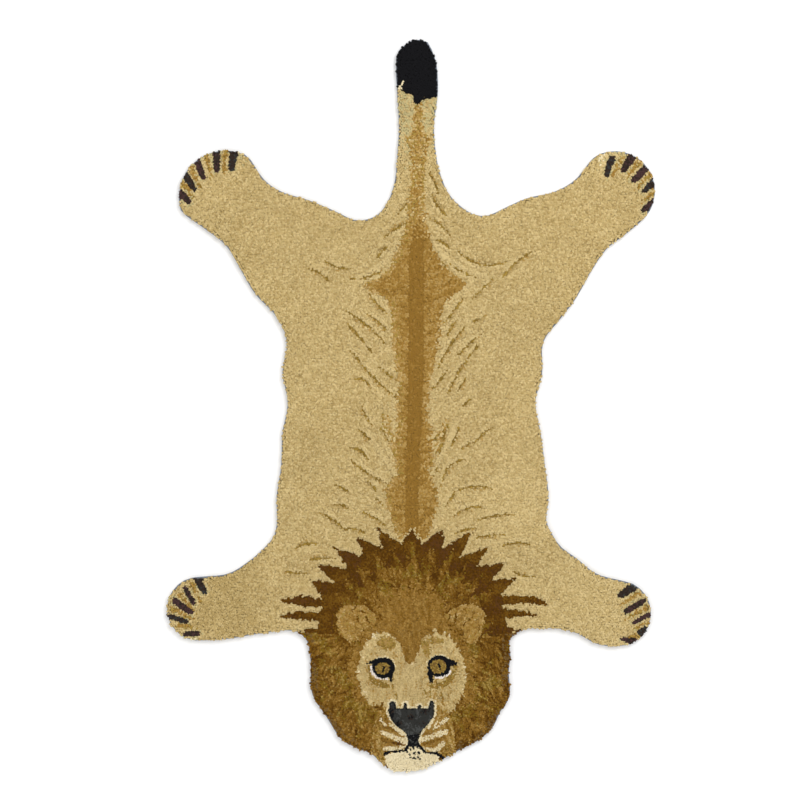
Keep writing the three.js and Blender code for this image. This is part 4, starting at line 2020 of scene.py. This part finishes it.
class Nodes:
    """Places and links the nodes of one tree, so that each finish reads as a list of steps."""

    def __init__(self, tree: bpy.types.NodeTree) -> None:
        """Starts on a tree with nothing in it."""
        self.tree = tree
        tree.nodes.clear()

    def add(self, kind: str, **settings: object) -> bpy.types.Node:
        """Adds a node and sets its properties.

        Args:
            kind: Blender's name of the node's type.
            **settings: Properties by name.

        Returns:
            The node.
        """
        node = self.tree.nodes.new(kind)
        for key, value in settings.items():
            setattr(node, key, value)
        return node

    def feed(self, socket: bpy.types.NodeSocket, source: object) -> None:
        """Links a socket to an output, or sets it to a plain value."""
        if isinstance(source, bpy.types.NodeSocket):
            self.tree.links.new(source, socket)
        else:
            socket.default_value = source

    def math(self, operation: str, *values: object, clamp: bool = False) -> bpy.types.NodeSocket:
        """A Math node on the values.

        Args:
            operation: Blender's name of the operation.
            *values: Outputs or numbers.
            clamp: Whether the result is kept from 0 to 1.

        Returns:
            The result.
        """
        node = self.add("ShaderNodeMath", operation=operation, use_clamp=clamp)
        for socket, value in zip(node.inputs, values):
            self.feed(socket, value)
        return node.outputs[0]

    def noise(self, where: object, scale: object, detail: float, roughness: float = 0.5) -> bpy.types.NodeSocket:
        """A noise texture's value, about 0.5 on average, at the given coordinates."""
        node = self.add("ShaderNodeTexNoise")
        self.feed(node.inputs["Vector"], where)
        self.feed(node.inputs["Scale"], scale)
        self.feed(node.inputs["Detail"], detail)
        self.feed(node.inputs["Roughness"], roughness)
        return node.outputs[0]

    def scaled(self, colour: object, amount: object) -> bpy.types.NodeSocket:
        """A colour times a number."""
        node = self.add("ShaderNodeVectorMath", operation="SCALE")
        self.feed(node.inputs[0], colour)
        self.feed(node.inputs["Scale"], amount)
        return node.outputs[0]


def new_group(name: str, inputs: dict[str, tuple[str, object]], outputs: dict[str, str]) -> bpy.types.NodeTree:
    """A shader node group with named sockets.

    Args:
        name: The group's name.
        inputs: Socket types and default values by name.
        outputs: Socket types by name.

    Returns:
        The group's tree, empty but for its sockets.
    """
    group = bpy.data.node_groups.new(name, "ShaderNodeTree")
    for label, (kind, default) in inputs.items():
        socket = group.interface.new_socket(label, in_out="INPUT", socket_type=kind)
        if default is not None:
            socket.default_value = default
    for label, kind in outputs.items():
        group.interface.new_socket(label, in_out="OUTPUT", socket_type=kind)
    return group


def wool_group() -> bpy.types.NodeTree:
    """The wool every yarn shares: fibre noise, twisted plies with painted shade, painted root shade and tone by
    tuft.

    Lightness is one plus each part times its noise about nought: fine fibres, soft patches, the tuft's tone and
    painted light and shade on the plies, where a sine of three waves round the yarn turns with its height. The
    whole is then darkened towards the root, as painted shade between the tufts.

    Returns:
        The group, with outputs Colour, Roughness and Height.
    """
    group = new_group(
        "dyed_wool",
        {
            "Colour": ("NodeSocketColor", (0.5, 0.4, 0.2, 1.0)),
            "Place": ("NodeSocketVector", None),
            "Strand": ("NodeSocketVector", None),
            "Tone": ("NodeSocketFloat", 0.0),
            "Tone Depth": ("NodeSocketFloat", 0.05),
            "Fibre Size": ("NodeSocketFloat", 900.0),
            "Fibre Depth": ("NodeSocketFloat", 0.35),
            "Patch Depth": ("NodeSocketFloat", 0.1),
            "Ply Painted Shade": ("NodeSocketFloat", 0.12),
            "Painted Root Shade Light": ("NodeSocketFloat", 0.45),
            "Dry": ("NodeSocketFloat", 0.9),
        },
        {"Colour": "NodeSocketColor", "Roughness": "NodeSocketFloat", "Height": "NodeSocketFloat"},
    )
    fibre_detail, fibre_roughness = 3.0, 0.62
    patch_size, patch_detail = 14.0, 2.0
    plies, ply_turn = 3.0, 5.0
    # Painted shade between the tufts: full below the first height on the strand map, gone above the second
    full_shade_below, no_shade_above = 0.3, 0.85
    fibre_dryness, ply_rise = 0.2, 0.4
    nodes = Nodes(group)
    source = nodes.add("NodeGroupInput").outputs
    fibre = nodes.noise(source["Place"], source["Fibre Size"], fibre_detail, fibre_roughness)
    patch = nodes.noise(source["Place"], patch_size, patch_detail)
    split = nodes.add("ShaderNodeSeparateXYZ")
    nodes.feed(split.inputs[0], source["Strand"])
    around = nodes.math("MULTIPLY", split.outputs[0], 2.0 * plies * math.pi)
    twist = nodes.math("MULTIPLY_ADD", split.outputs[1], ply_turn, around)
    ply = nodes.math("SINE", twist)
    light = nodes.math("MULTIPLY_ADD", nodes.math("SUBTRACT", fibre, 0.5), source["Fibre Depth"], 1.0)
    light = nodes.math("MULTIPLY_ADD", nodes.math("SUBTRACT", patch, 0.5), source["Patch Depth"], light)
    light = nodes.math("MULTIPLY_ADD", source["Tone"], source["Tone Depth"], light)
    # Painted light and shade along the plies' twist
    light = nodes.math("MULTIPLY_ADD", ply, nodes.math("MULTIPLY", source["Ply Painted Shade"], 0.5), light)
    # Painted shade: darker from the shoulder down to the root, for the shade between the tufts
    rise = nodes.add("ShaderNodeMapRange", interpolation_type="SMOOTHSTEP")
    nodes.feed(rise.inputs["Value"], split.outputs[1])
    nodes.feed(rise.inputs["From Min"], full_shade_below)
    nodes.feed(rise.inputs["From Max"], no_shade_above)
    nodes.feed(rise.inputs["To Min"], source["Painted Root Shade Light"])
    nodes.feed(rise.inputs["To Max"], 1.0)
    light = nodes.math("MULTIPLY", light, rise.outputs[0])
    target = nodes.add("NodeGroupOutput").inputs
    nodes.feed(target["Colour"], nodes.scaled(source["Colour"], light))
    nodes.feed(target["Roughness"], nodes.math("MULTIPLY_ADD", fibre, fibre_dryness, source["Dry"], clamp=True))
    nodes.feed(target["Height"], nodes.math("MULTIPLY_ADD", ply, ply_rise, fibre))
    return group


def weave_group() -> bpy.types.NodeTree:
    """Plain weave: two sets of threads at right angles, each a row of rounded ribs that rise and dip in turn.

    The height is the greater of two ribs. A rib is the sine across it, raised or lowered by the sign of the
    product of both sets' slow sines, and slubs come from noise. The colour grows lighter with the height, as
    painted light on the ribs and painted shade between them.

    Returns:
        The group, with outputs Colour, Roughness and Height.
    """
    group = new_group(
        "plain_weave",
        {
            "Colour": ("NodeSocketColor", (0.2, 0.22, 0.26, 1.0)),
            "Place": ("NodeSocketVector", None),
            "Threads": ("NodeSocketFloat", 700.0),
            "Slub": ("NodeSocketFloat", 0.25),
        },
        {"Colour": "NodeSocketColor", "Roughness": "NodeSocketFloat", "Height": "NodeSocketFloat"},
    )
    rib, slow = 0.5, 0.25
    rib_shift = 0.4
    slub_size, slub_detail, slub_rise = 260.0, 4.0, 0.3
    least_light, rib_painted_light = 0.72, 0.28
    least_roughness, slub_roughness = 0.78, 0.2
    nodes = Nodes(group)
    source = nodes.add("NodeGroupInput").outputs
    split = nodes.add("ShaderNodeSeparateXYZ")
    nodes.feed(split.inputs[0], source["Place"])
    turn = nodes.math("MULTIPLY", source["Threads"], 2.0 * math.pi)
    across = nodes.math("MULTIPLY", split.outputs[0], turn)
    along = nodes.math("MULTIPLY", split.outputs[1], turn)
    warp = nodes.math("ABSOLUTE", nodes.math("SINE", nodes.math("MULTIPLY", across, rib)))
    weft = nodes.math("ABSOLUTE", nodes.math("SINE", nodes.math("MULTIPLY", along, rib)))
    over = nodes.math(
        "MULTIPLY",
        nodes.math("SINE", nodes.math("MULTIPLY", across, slow)),
        nodes.math("SINE", nodes.math("MULTIPLY", along, slow)),
    )
    rib_one = nodes.math("MULTIPLY_ADD", over, rib_shift, warp)
    rib_two = nodes.math("MULTIPLY_ADD", over, -rib_shift, weft)
    height = nodes.math("MAXIMUM", rib_one, rib_two)
    slub = nodes.noise(source["Place"], slub_size, slub_detail)
    light = nodes.math("MULTIPLY_ADD", nodes.math("SUBTRACT", slub, 0.5), source["Slub"], least_light)
    # Painted light on the ribs and painted shade between them
    light = nodes.math("MULTIPLY_ADD", height, rib_painted_light, light)
    target = nodes.add("NodeGroupOutput").inputs
    nodes.feed(target["Colour"], nodes.scaled(source["Colour"], light))
    rough = nodes.math("MULTIPLY_ADD", slub, slub_roughness, least_roughness, clamp=True)
    nodes.feed(target["Roughness"], rough)
    nodes.feed(target["Height"], nodes.math("MULTIPLY_ADD", slub, slub_rise, height))
    return group


@dataclass(frozen=True)
class WoolFinish:
    """Matt wool: the dyed yarn with the faint sheen of its loose fibres."""

    fibre_depth: float = 0.3
    # How strong the painted light and shade on the plies is, and the lightness left at the root under the
    # painted shade between tufts
    ply_painted_shade: float = 0.1
    painted_root_shade_light: float = 0.72
    tone_depth: float = 0.03
    sheen: float = 0.05
    bump: float = 0.5
    bump_distance: float = 0.0006
    gain: float = 1.03
    brightest: float = 0.95
    gloss: float = 0.04
    sheen_roughness: float = 0.45

    def dress(self, name: str, group: bpy.types.NodeTree, colour: np.ndarray | None) -> bpy.types.Material:
        """Makes the material.

        Args:
            name: Its name.
            group: The wool group.
            colour: The yarn's linear colour, or None where the piece's own yarn attribute gives it.

        Returns:
            The material.
        """
        material = bpy.data.materials.new(name)
        material.use_nodes = True
        nodes = Nodes(material.node_tree)
        place = nodes.add("ShaderNodeTexCoord").outputs["Object"]
        wool = nodes.add("ShaderNodeGroup", node_tree=group)
        nodes.feed(wool.inputs["Place"], place)
        nodes.feed(wool.inputs["Fibre Depth"], self.fibre_depth)
        nodes.feed(wool.inputs["Tone Depth"], self.tone_depth)
        if colour is None:
            dyed = nodes.add("ShaderNodeAttribute", attribute_name="yarn")
            nodes.feed(wool.inputs["Colour"], dyed.outputs["Color"])
            nodes.feed(wool.inputs["Strand"], (0.0, 1.0, 0.0))
            nodes.feed(wool.inputs["Ply Painted Shade"], 0.0)
        else:
            lit = np.clip(colour * self.gain, 0.0, self.brightest)
            nodes.feed(wool.inputs["Colour"], (*lit, 1.0))
            nodes.feed(wool.inputs["Strand"], nodes.add("ShaderNodeUVMap", uv_map="strand").outputs[0])
            tone = nodes.add("ShaderNodeAttribute", attribute_name="tone")
            nodes.feed(wool.inputs["Tone"], tone.outputs["Fac"])
            nodes.feed(wool.inputs["Ply Painted Shade"], self.ply_painted_shade)
            nodes.feed(wool.inputs["Painted Root Shade Light"], self.painted_root_shade_light)
        bump = nodes.add("ShaderNodeBump")
        nodes.feed(bump.inputs["Height"], wool.outputs["Height"])
        nodes.feed(bump.inputs["Strength"], self.bump)
        nodes.feed(bump.inputs["Distance"], self.bump_distance)
        shader = nodes.add("ShaderNodeBsdfPrincipled")
        nodes.feed(shader.inputs["Base Color"], wool.outputs["Colour"])
        nodes.feed(shader.inputs["Roughness"], wool.outputs["Roughness"])
        nodes.feed(shader.inputs["Normal"], bump.outputs[0])
        nodes.feed(shader.inputs["Specular IOR Level"], self.gloss)
        nodes.feed(shader.inputs["Sheen Weight"], self.sheen)
        nodes.feed(shader.inputs["Sheen Roughness"], self.sheen_roughness)
        nodes.feed(nodes.add("ShaderNodeOutputMaterial").inputs["Surface"], shader.outputs[0])
        return material


@dataclass(frozen=True)
class CanvasFinish:
    """Matt woven cotton."""

    colour: tuple[float, float, float] = (0.23, 0.26, 0.31)
    bump: float = 0.7
    bump_distance: float = 0.0004
    gloss: float = 0.25

    def dress(self, name: str, group: bpy.types.NodeTree) -> bpy.types.Material:
        """Makes the material.

        Args:
            name: Its name.
            group: The weave group.

        Returns:
            The material.
        """
        material = bpy.data.materials.new(name)
        material.use_nodes = True
        nodes = Nodes(material.node_tree)
        weave = nodes.add("ShaderNodeGroup", node_tree=group)
        nodes.feed(weave.inputs["Place"], nodes.add("ShaderNodeTexCoord").outputs["Object"])
        nodes.feed(weave.inputs["Colour"], (*self.colour, 1.0))
        bump = nodes.add("ShaderNodeBump")
        nodes.feed(bump.inputs["Height"], weave.outputs["Height"])
        nodes.feed(bump.inputs["Strength"], self.bump)
        nodes.feed(bump.inputs["Distance"], self.bump_distance)
        shader = nodes.add("ShaderNodeBsdfPrincipled")
        nodes.feed(shader.inputs["Base Color"], weave.outputs["Colour"])
        nodes.feed(shader.inputs["Roughness"], weave.outputs["Roughness"])
        nodes.feed(shader.inputs["Normal"], bump.outputs[0])
        nodes.feed(shader.inputs["Specular IOR Level"], self.gloss)
        nodes.feed(nodes.add("ShaderNodeOutputMaterial").inputs["Surface"], shader.outputs[0])
        return material


@dataclass
class Backing:
    """The woven backing cloth, its cut edge softly rounded."""

    outline: Outline
    rounding: float = 0.5

    def build(self, group: bpy.types.NodeTree) -> bpy.types.Object:
        """Makes the cloth in four loops, drawn in at the floor and at the top by the rounding."""
        drawn, full = self.outline.inset(self.rounding), self.outline.loop
        rings = [
            (drawn, 0.0),
            (full, self.rounding),
            (full, BACKING_TOP - self.rounding),
            (drawn, BACKING_TOP),
        ]
        piece = closed_sheet("backing_cloth", rings, np.empty((0, 2)), np.empty(0))
        piece.data.materials.append(CanvasFinish().dress("grey_canvas", group))
        return piece


@dataclass
class Ground:
    """The close ground of yarn stems under the cut tips, with the pattern's colours in painted shade, and its
    carving.
    """

    outline: Outline
    pattern: Pattern
    pitch: float = 7.0
    foot_inset: float = 3.0
    slope_inset: float = 7.5
    inner_inset: float = 10.5
    # Painted shade under the tufts: the share of its yarn's colour that the ground keeps
    shade: float = 0.8
    jitter: float = 0.1
    carve_share: float = 0.8
    rim_drop: float = 0.6

    def build(self, group: bpy.types.NodeTree) -> bpy.types.Object:
        """Makes the ground: its rim slopes up from the foot, and its top follows the carving at four fifths."""
        rng = source_of(Draw.STEM_PLACES)
        loop = self.outline.loop
        places = Gauge(self.pitch, self.jitter).roots(loop.min(axis=0), loop.max(axis=0), rng)
        depth, _ = self.outline.depth(places)
        inner = places[depth > self.inner_inset]
        foot, slope = self.outline.inset(self.foot_inset), self.outline.inset(self.slope_inset)
        stems = self.sewn(np.concatenate([foot, slope, inner]))
        height = STEM_TOP - self.carve_share * stems.carve[len(foot) + len(slope) :]
        rings = [(foot, PILE_FOOT), (slope, STEM_TOP - self.rim_drop)]
        piece = closed_sheet("pile_ground", rings, inner, height)
        # The pattern's yarn colours, darkened as painted shade
        shaded_colours = np.array([yarn.linear for yarn in YARNS])[stems.yarn] * self.shade
        colours = np.column_stack([shaded_colours, np.ones(len(shaded_colours))])
        layer = piece.data.attributes.new("yarn", "FLOAT_COLOR", "POINT")
        layer.data.foreach_set("color", colours.astype(np.float32).ravel())
        piece.data.materials.append(WoolFinish().dress("wool_ground", group, None))
        return piece

    def sewn(self, places: np.ndarray) -> Pile:
        """The pattern read at the ground's own points."""
        depth, way_out = self.outline.depth(places)
        stems = Pile(places, np.full(len(places), self.pitch), depth, way_out, Draw.STEMS)
        self.pattern.sew(stems)
        return stems


@dataclass
class Rug:
    """The rug: backing, ground and one piece of tufts for each yarn."""

    outline: Outline
    pattern: Pattern = field(default_factory=Pattern)
    tufting: Tufting = field(default_factory=Tufting)

    def build(self) -> None:
        """Builds every piece, gives it its finish and ties it to the frame."""
        wool, weave = wool_group(), weave_group()
        backing = Backing(self.outline).build(weave)
        report(backing)
        ground = Ground(self.outline, self.pattern).build(wool)
        report(ground)
        pile = self.tufting.pile(self.outline)
        self.pattern.sew(pile)
        tufts = Tufts(pile)
        lots = []
        for yarn in YARNS:
            label = yarn.name.lower()
            material = WoolFinish().dress(f"wool_{label}", wool, yarn.linear)
            lots.append(tufts.build(f"tufts_{label}", yarn, material))
            report(lots[-1])
        self.tie(backing, ground, lots)

    def tie(self, backing: bpy.types.Object, ground: bpy.types.Object, lots: list[bpy.types.Object]) -> None:
        """Ties each piece to the frame's root body and hides the frame's backing and pile."""
        for piece in (backing, ground, *lots):
            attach(piece, "root")
        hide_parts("backing")
        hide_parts("pile")


@dataclass
class Studio:
    """A plain pale floor, soft light and a camera straight above, as the photograph is taken."""

    view_centre: tuple[float, float] = (-22.5, 11.2)
    view_width: float = 1635.0
    lens: float = 85.0
    sensor: float = 36.0
    floor_size: float = 8.0
    key_power: float = 54.0
    fill_power: float = 26.0
    sky: float = 0.7
    key_place: tuple[float, float, float] = (1.1, 1.3, 2.7)
    key_size: float = 2.0
    fill_place: tuple[float, float, float] = (-1.5, -0.9, 2.7)
    fill_size: float = 2.6
    floor_light: float = 0.94
    floor_roughness: float = 0.9
    floor_gloss: float = 0.1

    def build(self) -> None:
        """Makes the camera, the floor, the lights and the sky."""
        self.camera()
        self.floor()
        self.light("key", self.key_place, self.key_size, self.key_power)
        self.light("fill", self.fill_place, self.fill_size, self.fill_power)
        world = bpy.data.worlds.new("studio")
        world.use_nodes = True
        world.node_tree.nodes["Background"].inputs["Color"].default_value = (1.0, 1.0, 1.0, 1.0)
        world.node_tree.nodes["Background"].inputs["Strength"].default_value = self.sky
        bpy.context.scene.world = world
        bpy.context.scene.view_settings.view_transform = "Standard"

    def camera(self) -> None:
        """Puts the camera as high as its lens needs to take in the view's width at the pile's top."""
        data = bpy.data.cameras.new("camera")
        data.lens = self.lens
        data.sensor_width = self.sensor
        camera = bpy.data.objects.new("camera", data)
        height = self.view_width * self.lens / self.sensor + PILE_TOP
        camera.location = Vector((*self.view_centre, height)) * MM
        bpy.context.scene.collection.objects.link(camera)
        bpy.context.scene.camera = camera

    def floor(self) -> None:
        """Makes the floor, a flat face with a pale matt finish."""
        half = self.floor_size / 2.0
        mesh = bpy.data.meshes.new("floor")
        corners = [(-half, -half, 0.0), (half, -half, 0.0), (half, half, 0.0), (-half, half, 0.0)]
        mesh.from_pydata(corners, [], [(0, 1, 2, 3)])
        material = bpy.data.materials.new("floor")
        material.use_nodes = True
        shader = material.node_tree.nodes["Principled BSDF"]
        shader.inputs["Base Color"].default_value = (*[self.floor_light] * 3, 1.0)
        shader.inputs["Roughness"].default_value = self.floor_roughness
        shader.inputs["Specular IOR Level"].default_value = self.floor_gloss
        mesh.materials.append(material)
        floor = bpy.data.objects.new("floor", mesh)
        bpy.context.scene.collection.objects.link(floor)

    def light(self, name: str, place: tuple[float, float, float], size: float, power: float) -> None:
        """Hangs a square soft light that faces the rug's middle.

        Args:
            name: Its name.
            place: Where it hangs, in metres.
            size: Its side in metres.
            power: Its power in watts.
        """
        data = bpy.data.lights.new(name, "AREA")
        data.size = size
        data.energy = power
        light = bpy.data.objects.new(name, data)
        light.location = place
        light.rotation_euler = (-Vector(place)).to_track_quat("-Z", "Y").to_euler()
        bpy.context.scene.collection.objects.link(light)


def report(piece: bpy.types.Object) -> None:
    """Logs a piece's name and size."""
    LOG.info("%s: %d points, %d faces", piece.name, len(piece.data.vertices), len(piece.data.polygons))


def main() -> None:
    """Loads the frame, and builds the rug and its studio."""
    logging.basicConfig(level=logging.INFO, format="%(name)s: %(message)s")
    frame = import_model()
    Studio().build()
    outline = Outline.of_node(frame["nodes"]["backing"])
    LOG.info("outline: %d points", len(outline.loop))
    Rug(outline).build()
    bpy.context.view_layer.update()


if __name__ == "__main__":
    main()
